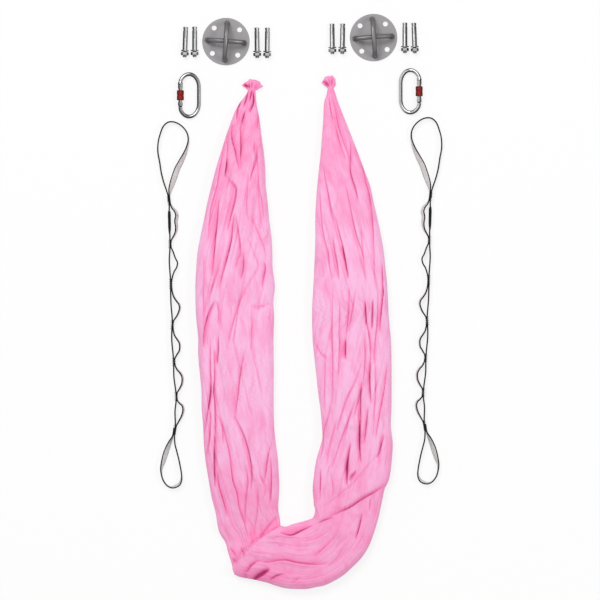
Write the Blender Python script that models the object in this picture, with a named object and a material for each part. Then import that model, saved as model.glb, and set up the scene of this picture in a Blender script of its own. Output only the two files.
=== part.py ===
"""An aerial hammock kit laid out on a flat surface.

The gathered cloth lies in a U with a knot at each end. Beside each end lie a ceiling plate with two
crossed loop bars, four sleeve anchors, a screw-lock carabiner and a daisy chain. The right-hand set
mirrors the left-hand one. Metres, +Z up, floor at zero.
"""

from math import asin, atan, cos, hypot, pi, radians, sin

import bmesh
import bpy
from mathutils import Matrix, Vector

# The layout. Places are picture pixels of the flat-lay view, read from straight above.
PIXEL_SIZE = 0.0025
CENTRE_PIXEL_X = 299.75
CENTRE_PIXEL_Y = 300.83
RIGHT_SET_RISE = 0.010
SIDES = {"left": 1, "right": -1}

# Clearances and workshop values that several pieces share.
SEAT_GAP = 0.0003
OVERRUN = 0.002
WELD_DISTANCE = 0.000001
SHARP_ANGLE = radians(38)

# Ceiling plate.
PLATE_DIAMETER = 0.1185
PLATE_THICKNESS = 0.004
PLATE_EDGE_CHAMFER = 0.0008
PLATE_SIDES = 48
PLATE_PIXEL = (225.95, 41.6)
PLATE_TURN = radians(-4)
BOLT_HOLE_EDGE = 0.00795
BOLT_HOLE_DIAMETER = 0.0126
BOLT_HOLE_SIDES = 16
BOLT_COUNT = 4
BAR_DIAMETER = 0.0115
BAR_SET_IN = 0.01375
LOWER_BAR_RISE = 0.026
BAR_FOOT_HEIGHT = 0.003
BAR_WELD_FLARE = 0.0018
BAR_SQUARENESS = 2.3
BAR_STEPS = 12
BAR_SIDES = 10

# Sleeve anchor, along its own axis from the free stud end to the cone end.
ANCHOR_LENGTH = 0.076
STUD_DIAMETER = 0.0098
STUD_END_CHAMFER = 0.0012
STUD_PROUD = 0.0048
NUT_ACROSS_FLATS = 0.017
NUT_SIDES = 6
NUT_HEIGHT = 0.008
NUT_CHAMFER = 0.0007
NUT_STANDOFF = 0.0026
WASHER_DIAMETER = 0.020
WASHER_THICKNESS = 0.002
SLEEVE_DIAMETER = 0.0122
SLEEVE_WALL = 0.0009
SLEEVE_EDGE_CHAMFER = 0.0004
CONE_LENGTH = 0.0055
CONE_LAND = 0.0035
SLOT_WIDTH = 0.0015
SLOT_LENGTH = 0.020
STUD_CLEARANCE = 0.0003
ANCHOR_SIDES = 12
WASHER_SIDES = 18
ANCHOR_PIXELS = {
    "outer": (184.75, 57.5), "second": (194.7, 57.3), "third": (257.3, 58.2), "inner": (267.1, 58.3),
}
ANCHOR_TURNS = {"outer": radians(-1.9), "second": 0, "third": radians(0.9), "inner": radians(-0.7)}

# Screw-lock carabiner. Heights run along its long axis from its middle, the nose being up.
CARABINER_LENGTH = 0.1155
CARABINER_WIDTH = 0.0584
CARABINER_PIXEL = (189.2, 95.5)
ROD_DIAMETER = 0.0095
SPINE_STRAIGHT_LENGTH = 0.0408
BOW_STEPS = 8
BOW_EASE = 0.0008
ROD_SIDES = 12
BARREL_DIAMETER = 0.0124
BARREL_SET_IN = 0.0010
NOSE_FACE_HEIGHT = 0.0269
NOSE_COLLAR_LENGTH = 0.0040
NOSE_TAPER_LENGTH = 0.0025
HINGE_STUB_LENGTH = 0.0025
TONGUE_THICKNESS = 0.0034
TONGUE_REACH = 0.0093
TONGUE_HEAD_LENGTH = 0.0028
TONGUE_NECK_WIDTH = 0.0034
TONGUE_HEAD_HOOK = 0.0035
TONGUE_CORNER = 0.0007
TONGUE_EDGE = 0.0010
LATCH_PIN_DIAMETER = 0.003
LATCH_CLEARANCE = 0.0003
LATCH_PIN_SET_IN = 0.0002
HINGE_HEIGHT = -0.022
HINGE_PIN_DIAMETER = 0.004
HINGE_PIN_CLEARANCE = 0.00015
PIN_HEAD_PROUD = 0.0004
TANG_THICKNESS = 0.0036
TANG_RADIUS = 0.0043
TANG_SIDE_CLEARANCE = 0.0004
TANG_STEPS = 6
GATE_NOSE_GAP = 0.0006
GATE_EDGE_CHAMFER = 0.0006
GATE_HEEL = 0.0065
GATE_HEEL_CHAMFER = 0.0025
HEEL_CLEARANCE = 0.0011
NOSE_BARREL_LENGTH = 0.0093
HINGE_BARREL_LENGTH = 0.0112
THREAD_DIAMETER = 0.0096
LOCK_SLEEVE_DIAMETER = 0.0177
LOCK_SLEEVE_LENGTH = 0.0250
LOCK_SLEEVE_HEIGHT = 0.0002
LOCK_SLEEVE_THREAD_LENGTH = 0.0080
LOCK_SLEEVE_CLEARANCE = 0.0003
LOCK_SLEEVE_SHOULDER = 0.0010
LOCK_SLEEVE_WAIST = 0.0004
LOCK_SLEEVE_WAIST_LENGTH = 0.0030
KNURL_DEPTH = 0.0004
KNURL_COUNT = 16
SPRING_WIRE_DIAMETER = 0.0007
SPRING_DIAMETER = 0.0050
SPRING_LENGTH = 0.019
SPRING_TURNS = 6
SPRING_TURN_POINTS = 8
SPRING_CLEARANCE = 0.0003
PIN_SIDES = 12
GATE_SIDES = 16

# Daisy chain: webbing that stands on its edge. Routes are picture pixels of the left-hand chain.
WEBBING_WIDTH = 0.016
POCKET_WEBBING_WIDTH = 0.0156
LOOP_WEBBING_WIDTH = 0.0158
WEBBING_THICKNESS = 0.0022
TACK_THICKNESS = 0.0052
TACK_WIDTH = 0.0152
BACK_RUN_PIXELS = [
    (168.4, 197.0), (169.3, 204.5), (169.3, 213.0), (169.8, 226.0), (170.0, 239.4), (170.0, 248.8),
    (169.4, 261.3), (170.5, 278.2), (170.7, 289.4), (171.1, 304.0), (172.4, 319.9), (172.0, 329.3),
    (171.9, 341.0), (173.5, 357.6), (173.8, 365.6), (174.0, 377.0), (175.9, 391.5), (176.2, 400.9),
    (175.1, 411.5), (175.4, 424.9), (173.9, 434.0),
]
TACK_PIXELS = [
    ((168.6, 196.3), (169.6, 205.3)), ((170.2, 239.4), (170.2, 248.8)), ((170.8, 278.6), (171.0, 289.2)),
    ((172.6, 319.9), (172.3, 329.3)), ((173.9, 357.4), (174.1, 366.2)), ((176.2, 391.5), (176.5, 400.9)),
    ((175.7, 424.9), (174.0, 434.7)),
]
POCKET_PIXELS = [
    [(170.3, 203.0), (172.7, 208.4), (175.4, 211.6), (176.6, 216.9), (176.4, 224.5), (176.6, 230.0),
     (174.6, 235.5), (171.2, 242.0)],
    [(171.0, 246.5), (173.2, 251.8), (175.4, 258.0), (177.6, 262.6), (176.6, 267.8), (174.0, 272.3),
     (171.8, 280.5)],
    [(171.6, 287.0), (173.4, 295.2), (176.3, 300.3), (179.2, 304.2), (179.9, 308.5), (177.6, 315.0),
     (173.5, 321.5)],
    [(173.0, 327.5), (174.5, 334.6), (177.1, 338.9), (179.7, 343.4), (179.7, 350.0), (177.1, 354.7),
     (174.6, 359.5)],
    [(175.0, 364.5), (177.3, 369.4), (180.3, 372.6), (182.6, 377.5), (182.1, 383.9), (179.6, 389.0),
     (177.0, 393.5)],
    [(177.2, 399.5), (179.6, 402.9), (182.5, 405.4), (183.5, 410.0), (182.0, 415.8), (179.2, 421.0),
     (176.0, 427.0)],
]
POCKET_LEAN_SHARES = [0.45, 0.0, 0.10, 0.0, 0.08, 0.12]
TOP_LOOP_PIXELS = [
    (168.6, 202.0), (168.0, 195.4), (166.3, 189.8), (163.6, 182.0), (161.2, 172.5), (159.6, 162.0),
    (157.9, 152.4), (158.2, 142.8), (160.2, 134.6), (163.2, 126.9), (167.6, 122.7), (172.2, 121.9),
    (176.8, 123.0), (181.2, 125.7), (185.0, 129.5), (187.6, 134.2), (188.5, 139.8), (187.6, 145.7),
    (185.2, 153.0), (181.0, 161.6), (177.2, 169.0), (174.4, 176.9), (171.9, 184.4), (170.2, 190.4),
    (169.5, 196.8), (169.9, 202.0),
]
TOP_LOOP_LEAN_SHARES = [
    0, 0, 0.04, 0.08, 0.10, 0.10, 0.08, 0.04, 0, 0, 0, 0, 0, 0, 0.04, 0.10, 0.18, 0.28,
    0.40, 0.56, 0.64, 0.66, 0.54, 0.30, 0, 0,
]
BOTTOM_LOOP_PIXELS = [
    (174.0, 428.0), (172.9, 435.6), (170.3, 441.4), (167.8, 447.4), (165.4, 454.2), (163.2, 461.8),
    (161.3, 469.4), (162.2, 477.1), (164.3, 481.9), (167.5, 485.6), (171.6, 487.2), (175.8, 486.3),
    (179.6, 483.8), (181.6, 478.6), (181.4, 472.4), (180.2, 465.6), (178.6, 458.0), (176.7, 450.6),
    (175.0, 443.6), (174.6, 436.0), (175.0, 428.0),
]
BOTTOM_LOOP_LEAN_SHARES = [
    0, 0.04, 0.26, 0.46, 0.54, 0.40, 0.12, 0, 0, 0, 0.10, 0.22, 0.22, 0.08, 0, 0, 0, 0, 0, 0, 0,
]
FULL_LEAN = radians(90)

# Hammock cloth, gathered lengthwise. Each station is (outer x, outer y, inner x, inner y) in picture
# pixels, from the left knot round the bend to the right knot. Heights are shares of the full height.
CLOTH_HEIGHT = 0.046
CLOTH_FOLD_DEPTH = 0.0085
CLOTH_FOLD_LIMIT_SHARE = 0.33
CLOTH_RING_POINTS = 28
CLOTH_SQUARENESS_SHARE = 0.72
CLOTH_FLAT_SHARE = 0.5
CLOTH_VALLEY_SHARES = [0.55, 1.0, 0.7, 0.4, 0.95, 0.6, 0.85]
CLOTH_LEG_DRIFT_SHARE = 0.05
CLOTH_BEND_DRIFT_SHARE = 0.22
CLOTH_BEND_START_SHARE = 0.46
CLOTH_BEND_END_SHARE = 0.78
CLOTH_STATION_PIXELS = [
    (249.6, 79.6, 254.6, 79.7), (246.4, 81.2, 257.6, 81.3), (242.2, 84.4, 261.9, 85.2),
    (243.6, 86.6, 259.8, 87.0), (248.4, 89.2, 255.9, 89.2), (247.8, 92.0, 255.6, 92.0),
    (239.8, 103.2, 256.9, 103.2), (233.0, 120.0, 259.3, 119.8), (225.0, 143.0, 262.4, 143.0),
    (216.8, 169.5, 265.1, 169.5), (208.2, 202.7, 267.9, 202.7), (200.7, 235.8, 270.9, 235.8),
    (196.6, 269.0, 273.4, 269.0), (196.3, 302.2, 274.4, 302.2), (198.1, 337.5, 273.8, 337.5),
    (200.2, 372.6, 273.9, 372.6), (202.8, 407.7, 274.2, 407.7), (204.2, 440.0, 276.2, 440.0),
    (207.6, 468.0, 278.8, 468.0), (213.0, 495.4, 279.2, 493.0), (218.4, 520.0, 278.6, 510.5),
    (226.2, 543.5, 279.4, 520.5), (230.2, 559.5, 280.6, 526.6), (231.6, 565.0, 281.4, 528.6),
    (232.4, 570.2, 282.6, 529.0), (240.6, 576.2, 287.0, 527.4), (254.5, 577.8, 293.4, 524.8),
    (270.5, 582.4, 300.4, 522.3), (287.0, 587.4, 306.2, 520.5), (306.3, 588.2, 310.8, 518.6),
    (325.8, 583.2, 313.4, 515.8), (343.0, 571.4, 314.8, 511.0), (361.0, 550.4, 314.4, 502.0),
    (374.0, 528.6, 313.6, 490.0), (382.6, 499.0, 314.6, 472.0), (391.6, 466.0, 318.2, 451.0),
    (392.6, 440.0, 321.8, 433.0), (391.4, 405.0, 320.2, 404.0), (391.6, 367.0, 316.4, 367.0),
    (390.3, 333.0, 312.8, 333.0), (387.6, 290.0, 313.1, 290.0), (383.0, 249.0, 314.8, 249.0),
    (375.4, 210.0, 316.5, 210.0), (362.4, 169.5, 321.0, 169.5), (349.6, 136.3, 323.2, 136.3),
    (337.5, 103.2, 325.3, 103.2), (333.6, 91.0, 326.6, 91.0), (333.2, 87.2, 326.6, 87.2),
    (335.2, 84.4, 322.6, 83.6), (335.6, 79.6, 323.6, 79.8), (333.6, 76.4, 326.2, 76.6),
]
CLOTH_HEIGHT_SHARES = [
    0.30, 0.52, 0.62, 0.55, 0.42, 0.40, 0.55, 0.70, 0.84, 0.93, 1.00, 0.98, 1.00, 0.96, 1.00, 0.97,
    0.98, 0.94, 0.90, 0.84, 0.74, 0.60, 0.46, 0.40, 0.96, 1.00, 1.00, 0.98, 1.00, 0.97, 1.00, 0.98,
    1.00, 0.98, 1.00, 1.00, 0.98, 1.00, 0.97, 1.00, 0.97, 1.00, 0.95, 0.86, 0.70, 0.52, 0.40, 0.42,
    0.55, 0.60, 0.34,
]

# Colours, roughness and metal of each finish.
FINISHES = {
    "pink_jersey": ((0.89, 0.36, 0.61), 0.92, 0.0),
    "plate_grey": ((0.34, 0.34, 0.34), 0.55, 0.2),
    "bar_grey": ((0.10, 0.095, 0.09), 0.45, 0.3),
    "zinc_steel": ((0.60, 0.60, 0.60), 0.28, 1.0),
    "polished_steel": ((0.72, 0.72, 0.72), 0.12, 1.0),
    "red_anodised": ((0.50, 0.02, 0.02), 0.30, 0.6),
    "grey_webbing": ((0.42, 0.42, 0.40), 0.88, 0.0),
}


def clear_scene():
    for piece in list(bpy.data.objects):
        bpy.data.objects.remove(piece)


def finish(name):
    """The material of one finish, made once and then shared."""
    material = bpy.data.materials.get(name)
    if material:
        return material
    colour, roughness, metallic = FINISHES[name]
    material = bpy.data.materials.new(name)
    material.use_nodes = True
    shader = material.node_tree.nodes["Principled BSDF"]
    shader.inputs["Base Color"].default_value = (*colour, 1)
    shader.inputs["Roughness"].default_value = roughness
    shader.inputs["Metallic"].default_value = metallic
    return material


def spot(pixel, side):
    """Where a picture pixel of the left-hand set lies. The right-hand set mirrors it, a little higher."""
    across = (pixel[0] - CENTRE_PIXEL_X) * PIXEL_SIZE
    along = (CENTRE_PIXEL_Y - pixel[1]) * PIXEL_SIZE
    rise = RIGHT_SET_RISE if side == SIDES["right"] else 0
    return Vector((side * across, along + rise, 0))


def holder(name, location, turn=(0, 0, 0)):
    """An empty that carries the pieces of one assembly."""
    empty = bpy.data.objects.new(name, None)
    empty.location = location
    empty.rotation_euler = turn
    bpy.context.scene.collection.objects.link(empty)
    return empty


def solid(name, mesh, finish_name, carrier=None, location=(0, 0, 0)):
    """One named object from a bmesh, smooth where it is round and sharp at its edges."""
    bmesh.ops.remove_doubles(mesh, verts=mesh.verts, dist=WELD_DISTANCE)
    bmesh.ops.recalc_face_normals(mesh, faces=mesh.faces)
    data = bpy.data.meshes.new(name)
    mesh.to_mesh(data)
    mesh.free()
    data.shade_smooth()
    data.set_sharp_from_angle(angle=SHARP_ANGLE)
    data.materials.append(finish(finish_name))
    piece = bpy.data.objects.new(name, data)
    bpy.context.scene.collection.objects.link(piece)
    piece.parent = carrier
    piece.location = location
    return piece


def combine(piece, mesh, operation, name):
    """Cuts the mesh from a piece or joins it on, as a live Boolean. The helper stays out of the model."""
    helper = solid(name, mesh, "zinc_steel", piece.parent, piece.location)
    helper.hide_render = True
    helper.display_type = "WIRE"
    boolean = piece.modifiers.new(name, "BOOLEAN")
    boolean.operation = operation
    boolean.object = helper
    boolean.solver = "EXACT"


def loft(rings, closed=False):
    """Quads between rings of points, with a cap on each end unless the rings close on themselves."""
    mesh = bmesh.new()
    rows = [[mesh.verts.new(point) for point in ring] for ring in rings]
    pairs = list(zip(rows, rows[1:]))
    if closed:
        pairs.append((rows[-1], rows[0]))
    for low, high in pairs:
        for index in range(len(low)):
            after = (index + 1) % len(low)
            mesh.faces.new((low[index], low[after], high[after], high[index]))
    if not closed:
        mesh.faces.new(rows[0])
        mesh.faces.new(rows[-1])
    return mesh


def turned(profile, sides, closed=False, axis="Y"):
    """A solid of revolution. The profile holds (radius, place along the axis) points."""
    mesh = bmesh.new()
    if axis == "Y":
        points = [Vector((radius, along, 0)) for radius, along in profile]
        spin_axis = Vector((0, 1, 0))
    else:
        points = [Vector((radius, 0, along)) for radius, along in profile]
        spin_axis = Vector((0, 0, 1))
    corners = [mesh.verts.new(point) for point in points]
    edges = [mesh.edges.new(pair) for pair in zip(corners, corners[1:])]
    if closed:
        edges.append(mesh.edges.new((corners[-1], corners[0])))
    bmesh.ops.spin(
        mesh, geom=corners + edges, cent=(0, 0, 0), axis=spin_axis, angle=2 * pi, steps=sides, use_merge=True
    )
    return mesh


def plate_outline(outline, low, high):
    """A flat outline in X and Y made solid between two heights."""
    mesh = bmesh.new()
    face = mesh.faces.new([mesh.verts.new((x, y, low)) for x, y in outline])
    raised = bmesh.ops.extrude_face_region(mesh, geom=[face])["geom"]
    corners = [item for item in raised if isinstance(item, bmesh.types.BMVert)]
    bmesh.ops.translate(mesh, verts=corners, vec=(0, 0, high - low))
    return mesh


def block(low, high):
    """A box between two corners."""
    outline = [(low[0], low[1]), (high[0], low[1]), (high[0], high[1]), (low[0], high[1])]
    return plate_outline(outline, low[2], high[2])


def drill(radius, half_length, sides, place=(0, 0)):
    """An upright round cutter or pin through a height of zero."""
    mesh = bmesh.new()
    bmesh.ops.create_cone(
        mesh, cap_ends=True, segments=sides, radius1=radius, radius2=radius, depth=2 * half_length,
        matrix=Matrix.Translation((place[0], place[1], 0)),
    )
    return mesh


def joined(*meshes):
    """Several cutter meshes as one."""
    whole = bmesh.new()
    for mesh in meshes:
        data = bpy.data.meshes.new("joined")
        mesh.to_mesh(data)
        mesh.free()
        whole.from_mesh(data)
        bpy.data.meshes.remove(data)
    return whole


def rod(points, radii, sides, normal):
    """A round rod along a flat curve. The normal stands square to the plane of the curve."""
    rings = []
    for index, point in enumerate(points):
        before = points[max(index - 1, 0)]
        after = points[min(index + 1, len(points) - 1)]
        across = normal.cross((after - before).normalized())
        ring = []
        for step in range(sides):
            turn = 2 * pi * (step + 0.5) / sides
            ring.append(point + radii[index] * (cos(turn) * across + sin(turn) * normal))
        rings.append(ring)
    return loft(rings)


def power(value, exponent):
    """A signed power, which squares off an ellipse."""
    return abs(value) ** exponent * (1 if value >= 0 else -1)


# Ceiling plates


def bar_points(rise):
    """The centre line of one loop bar, from foot to foot, above the plate's face."""
    foot = PLATE_THICKNESS + SEAT_GAP
    shoulder = foot + BAR_FOOT_HEIGHT
    half = PLATE_DIAMETER / 2 - BAR_SET_IN
    points = [Vector((half, 0, foot))]
    for step in range(BAR_STEPS + 1):
        turn = pi * step / BAR_STEPS
        across = half * power(cos(turn), 2 / BAR_SQUARENESS)
        height = shoulder + rise * power(sin(turn), 2 / BAR_SQUARENESS)
        points.append(Vector((across, 0, height)))
    points.append(Vector((-half, 0, foot)))
    return points


def loop_bar(name, rise, turn, carrier):
    points = bar_points(rise)
    radii = [BAR_DIAMETER / 2] * len(points)
    radii[0] += BAR_WELD_FLARE
    radii[-1] += BAR_WELD_FLARE
    mesh = rod(points, radii, BAR_SIDES, Vector((0, 1, 0)))
    bmesh.ops.rotate(mesh, verts=mesh.verts, cent=(0, 0, 0), matrix=Matrix.Rotation(turn, 3, "Z"))
    solid(name, mesh, "bar_grey", carrier)


def bolt_holes():
    """Four cutters set in from the plate's rim, halfway between the bars."""
    circle = PLATE_DIAMETER / 2 - BOLT_HOLE_EDGE - BOLT_HOLE_DIAMETER / 2
    cutters = []
    for index in range(BOLT_COUNT):
        turn = 2 * pi * (index + 0.5) / BOLT_COUNT
        place = (circle * cos(turn), circle * sin(turn))
        cutters.append(drill(BOLT_HOLE_DIAMETER / 2, PLATE_THICKNESS + OVERRUN, BOLT_HOLE_SIDES, place))
    return joined(*cutters)


def ceiling_plate(hand, side):
    carrier = holder(f"{hand}_plate_place", spot(PLATE_PIXEL, side), (0, 0, side * PLATE_TURN))
    radius = PLATE_DIAMETER / 2
    profile = [
        (0, 0), (radius, 0), (radius, PLATE_THICKNESS - PLATE_EDGE_CHAMFER),
        (radius - PLATE_EDGE_CHAMFER, PLATE_THICKNESS), (0, PLATE_THICKNESS),
    ]
    disc = solid(f"{hand}_plate_disc", turned(profile, PLATE_SIDES, axis="Z"), "plate_grey", carrier)
    combine(disc, bolt_holes(), "DIFFERENCE", f"{hand}_bolt_hole_cutter")
    upper_rise = LOWER_BAR_RISE + BAR_DIAMETER + SEAT_GAP
    loop_bar(f"{hand}_plate_lower_bar", LOWER_BAR_RISE, 0, carrier)
    loop_bar(f"{hand}_plate_upper_bar", upper_rise, pi / 2, carrier)


# Sleeve anchors


def anchor_stud(name, carrier):
    radius = STUD_DIAMETER / 2
    land = ANCHOR_LENGTH - CONE_LAND
    profile = [
        (0, 0), (radius - STUD_END_CHAMFER, 0), (radius, STUD_END_CHAMFER), (radius, land - CONE_LENGTH),
        (SLEEVE_DIAMETER / 2, land), (SLEEVE_DIAMETER / 2, ANCHOR_LENGTH), (0, ANCHOR_LENGTH),
    ]
    solid(name, turned(profile, ANCHOR_SIDES), "zinc_steel", carrier)


def washer_start():
    """How far along the anchor the washer's nut side is."""
    return STUD_PROUD + NUT_HEIGHT + NUT_STANDOFF


def anchor_sleeve(name, carrier):
    """A thin tube up to the foot of the cone, slotted there so that it can spread."""
    start = washer_start() + WASHER_THICKNESS + SEAT_GAP
    end = ANCHOR_LENGTH - CONE_LAND - CONE_LENGTH
    outer = SLEEVE_DIAMETER / 2
    inner = outer - SLEEVE_WALL
    chamfer = SLEEVE_EDGE_CHAMFER
    profile = [
        (inner, start), (outer - chamfer, start), (outer, start + chamfer), (outer, end - chamfer),
        (outer - chamfer, end), (inner, end),
    ]
    tube = solid(name, turned(profile, ANCHOR_SIDES, closed=True), "zinc_steel", carrier)
    reach = outer + OVERRUN
    half = SLOT_WIDTH / 2
    flat_slot = block((-reach, end - SLOT_LENGTH, -half), (reach, end + OVERRUN, half))
    combine(tube, flat_slot, "DIFFERENCE", f"{name}_flat_slot")
    upright_slot = block((-half, end - SLOT_LENGTH, -reach), (half, end + OVERRUN, reach))
    combine(tube, upright_slot, "DIFFERENCE", f"{name}_upright_slot")


def anchor_washer(name, carrier):
    start = washer_start()
    inner = STUD_DIAMETER / 2 + STUD_CLEARANCE
    outer = WASHER_DIAMETER / 2
    end = start + WASHER_THICKNESS
    profile = [(inner, start), (outer, start), (outer, end), (inner, end)]
    solid(name, turned(profile, WASHER_SIDES, closed=True), "zinc_steel", carrier)


def nut_ring(corner, flat, along):
    """Points around the nut, on its corners and on the middles of its flats in turn."""
    ring = []
    for index in range(2 * NUT_SIDES):
        radius = flat if index % 2 else corner
        turn = pi * index / NUT_SIDES
        ring.append(Vector((radius * cos(turn), along, radius * sin(turn))))
    return ring


def anchor_nut(name, carrier):
    flat = NUT_ACROSS_FLATS / 2
    corner = flat / cos(pi / NUT_SIDES)
    bore = STUD_DIAMETER / 2 + STUD_CLEARANCE
    face = flat - NUT_CHAMFER
    low = STUD_PROUD
    high = STUD_PROUD + NUT_HEIGHT
    rings = [
        nut_ring(bore, bore, low), nut_ring(face, face, low), nut_ring(corner, flat, low + NUT_CHAMFER),
        nut_ring(corner, flat, high - NUT_CHAMFER), nut_ring(face, face, high), nut_ring(bore, bore, high),
    ]
    solid(name, loft(rings, closed=True), "zinc_steel", carrier)


def anchor_tilt():
    """How far the anchor leans so that washer and cone end both touch the floor."""
    rest_length = ANCHOR_LENGTH - washer_start() - WASHER_THICKNESS
    return atan((WASHER_DIAMETER - SLEEVE_DIAMETER) / 2 / rest_length)


def sleeve_anchor(label, hand, side):
    tilt = anchor_tilt()
    place = spot(ANCHOR_PIXELS[label], side)
    place.z = ANCHOR_LENGTH * sin(tilt) + SLEEVE_DIAMETER / 2 * cos(tilt)
    turn = (-tilt, 0, side * ANCHOR_TURNS[label])
    stem = f"{hand}_{label}_anchor"
    carrier = holder(f"{stem}_place", place, turn)
    anchor_stud(f"{stem}_stud", carrier)
    anchor_sleeve(f"{stem}_sleeve", carrier)
    anchor_washer(f"{stem}_washer", carrier)
    anchor_nut(f"{stem}_nut", carrier)


# Carabiners. Their own frame has the gate at minus X on the left-hand one and the nose at plus Y.


def gate_line():
    """How far the gate's axis stands from the carabiner's middle."""
    return (CARABINER_WIDTH - BARREL_DIAMETER) / 2 - BARREL_SET_IN


def spine_line():
    """How far the spine's centre line stands from the carabiner's middle."""
    return (CARABINER_WIDTH - ROD_DIAMETER) / 2


def spine_bow(way):
    """A quarter of an oval, from the top or the foot round to the straight spine."""
    start = SPINE_STRAIGHT_LENGTH / 2
    rise = (CARABINER_LENGTH - ROD_DIAMETER) / 2 - start
    turns = [pi / 2 * step / BOW_STEPS for step in range(BOW_STEPS + 1)]
    return [Vector((spine_line() * sin(turn), way * (start + rise * cos(turn)), 0)) for turn in turns]


def gate_bow(way):
    """The same quarter on the gate's side, as far as it stays within the gate's line."""
    mirrored = [Vector((-point.x, point.y, 0)) for point in spine_bow(way)[1:]]
    return [point for point in mirrored if point.x > BOW_EASE - gate_line()]


def frame_path():
    """The rod's centre line from the nose, over the top, down the spine and round to the hinge."""
    collar_top = NOSE_FACE_HEIGHT + NOSE_COLLAR_LENGTH
    heel = HINGE_HEIGHT - GATE_HEEL - HEEL_CLEARANCE
    nose_heights = (NOSE_FACE_HEIGHT, collar_top, collar_top + NOSE_TAPER_LENGTH)
    nose = [Vector((-gate_line(), height, 0)) for height in nose_heights]
    hinge = [Vector((-gate_line(), height, 0)) for height in (heel - HINGE_STUB_LENGTH, heel)]
    over_top = gate_bow(1)[::-1] + spine_bow(1)
    round_foot = spine_bow(-1)[::-1] + gate_bow(-1)
    return nose + over_top + round_foot + hinge


def frame_rod(side):
    """The bent rod, with a thick collar at its nose that tapers to the plain rod."""
    path = frame_path()
    radii = [ROD_DIAMETER / 2] * len(path)
    radii[:2] = [BARREL_DIAMETER / 2] * 2
    placed = [Vector((side * point.x, point.y, 0)) for point in path]
    return rod(placed, radii, ROD_SIDES, Vector((0, 0, 1)))


def tongue(side):
    """The hooked tongue below the nose. The latch pin sits above its head, inside of its neck."""
    outer = -BARREL_DIAMETER / 2 + TONGUE_EDGE
    neck = outer + TONGUE_NECK_WIDTH
    hook = neck + TONGUE_HEAD_HOOK
    top = NOSE_FACE_HEIGHT + OVERRUN
    bottom = NOSE_FACE_HEIGHT - TONGUE_REACH
    head = bottom + TONGUE_HEAD_LENGTH
    corner = TONGUE_CORNER
    outline = [
        (outer, top), (outer, bottom + corner), (outer + corner, bottom), (hook - corner, bottom),
        (hook, bottom + corner), (hook, head), (neck, head), (neck, top),
    ]
    placed = [(side * (across - gate_line()), height) for across, height in outline]
    return plate_outline(placed, -TONGUE_THICKNESS / 2, TONGUE_THICKNESS / 2)


def tang(side):
    """The flat eye on the hinge end, round about the hinge pin."""
    foot = HINGE_HEIGHT - GATE_HEEL - HEEL_CLEARANCE - OVERRUN
    outline = [(-TANG_RADIUS, foot), (TANG_RADIUS, foot)]
    for step in range(TANG_STEPS + 1):
        turn = pi * step / TANG_STEPS
        outline.append((TANG_RADIUS * cos(turn), HINGE_HEIGHT + TANG_RADIUS * sin(turn)))
    placed = [(side * (across - gate_line()), height) for across, height in outline]
    return plate_outline(placed, -TANG_THICKNESS / 2, TANG_THICKNESS / 2)


def carabiner_frame(stem, side, carrier):
    piece = solid(f"{stem}_frame", frame_rod(side), "polished_steel", carrier)
    combine(piece, tongue(side), "UNION", f"{stem}_tongue")
    combine(piece, tang(side), "UNION", f"{stem}_tang")
    hole = HINGE_PIN_DIAMETER / 2 + HINGE_PIN_CLEARANCE
    place = (side * -gate_line(), HINGE_HEIGHT)
    combine(piece, drill(hole, TANG_THICKNESS + OVERRUN, PIN_SIDES, place), "DIFFERENCE", f"{stem}_eye")


def gate_profile():
    """The gate's outline: hinge barrel, thread and nose barrel."""
    barrel = BARREL_DIAMETER / 2
    thread = THREAD_DIAMETER / 2
    heel = HINGE_HEIGHT - GATE_HEEL
    top = NOSE_FACE_HEIGHT - GATE_NOSE_GAP
    hinge_top = heel + HINGE_BARREL_LENGTH
    nose_foot = top - NOSE_BARREL_LENGTH
    return [
        (0, heel), (barrel - GATE_HEEL_CHAMFER, heel), (barrel, heel + GATE_HEEL_CHAMFER),
        (barrel, hinge_top), (thread, hinge_top), (thread, nose_foot), (barrel, nose_foot),
        (barrel, top - GATE_EDGE_CHAMFER), (barrel - GATE_EDGE_CHAMFER, top), (0, top),
    ]


def latch_pin_place():
    """The latch pin's place across and along the gate, just clear of the tongue's neck and head."""
    radius = LATCH_PIN_DIAMETER / 2 + LATCH_CLEARANCE
    across = -BARREL_DIAMETER / 2 + TONGUE_EDGE + TONGUE_NECK_WIDTH + radius
    height = NOSE_FACE_HEIGHT - TONGUE_REACH + TONGUE_HEAD_LENGTH + radius
    return across, height


def gate_cuts(side):
    """The hinge fork, the nose fork and the holes for both pins, about the gate's own axis."""
    wide = BARREL_DIAMETER
    heel = HINGE_HEIGHT - GATE_HEEL
    top = NOSE_FACE_HEIGHT - GATE_NOSE_GAP
    fork = TANG_THICKNESS / 2 + TANG_SIDE_CLEARANCE
    slot = TONGUE_THICKNESS / 2 + TANG_SIDE_CLEARANCE
    fork_top = HINGE_HEIGHT + TANG_RADIUS + HEEL_CLEARANCE
    slot_foot = NOSE_FACE_HEIGHT - TONGUE_REACH - HEEL_CLEARANCE
    across, height = latch_pin_place()
    return {
        "hinge_fork": block((-wide, heel - OVERRUN, -fork), (wide, fork_top, fork)),
        "nose_fork": block((-wide, slot_foot, -slot), (wide, top + OVERRUN, slot)),
        "hinge_hole": drill(HINGE_PIN_DIAMETER / 2 + HINGE_PIN_CLEARANCE, wide, PIN_SIDES, (0, HINGE_HEIGHT)),
        "latch_hole": drill(
            LATCH_PIN_DIAMETER / 2 + HINGE_PIN_CLEARANCE, wide, PIN_SIDES, (side * across, height)
        ),
    }


def spring_bore():
    """The blind bore for the gate spring, open to the hinge fork."""
    radius = SPRING_DIAMETER / 2 + SPRING_CLEARANCE
    start = HINGE_HEIGHT + TANG_RADIUS
    end = start + SEAT_GAP + SPRING_LENGTH + SEAT_GAP
    return turned([(0, start), (radius, start), (radius, end), (0, end)], PIN_SIDES)


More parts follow.
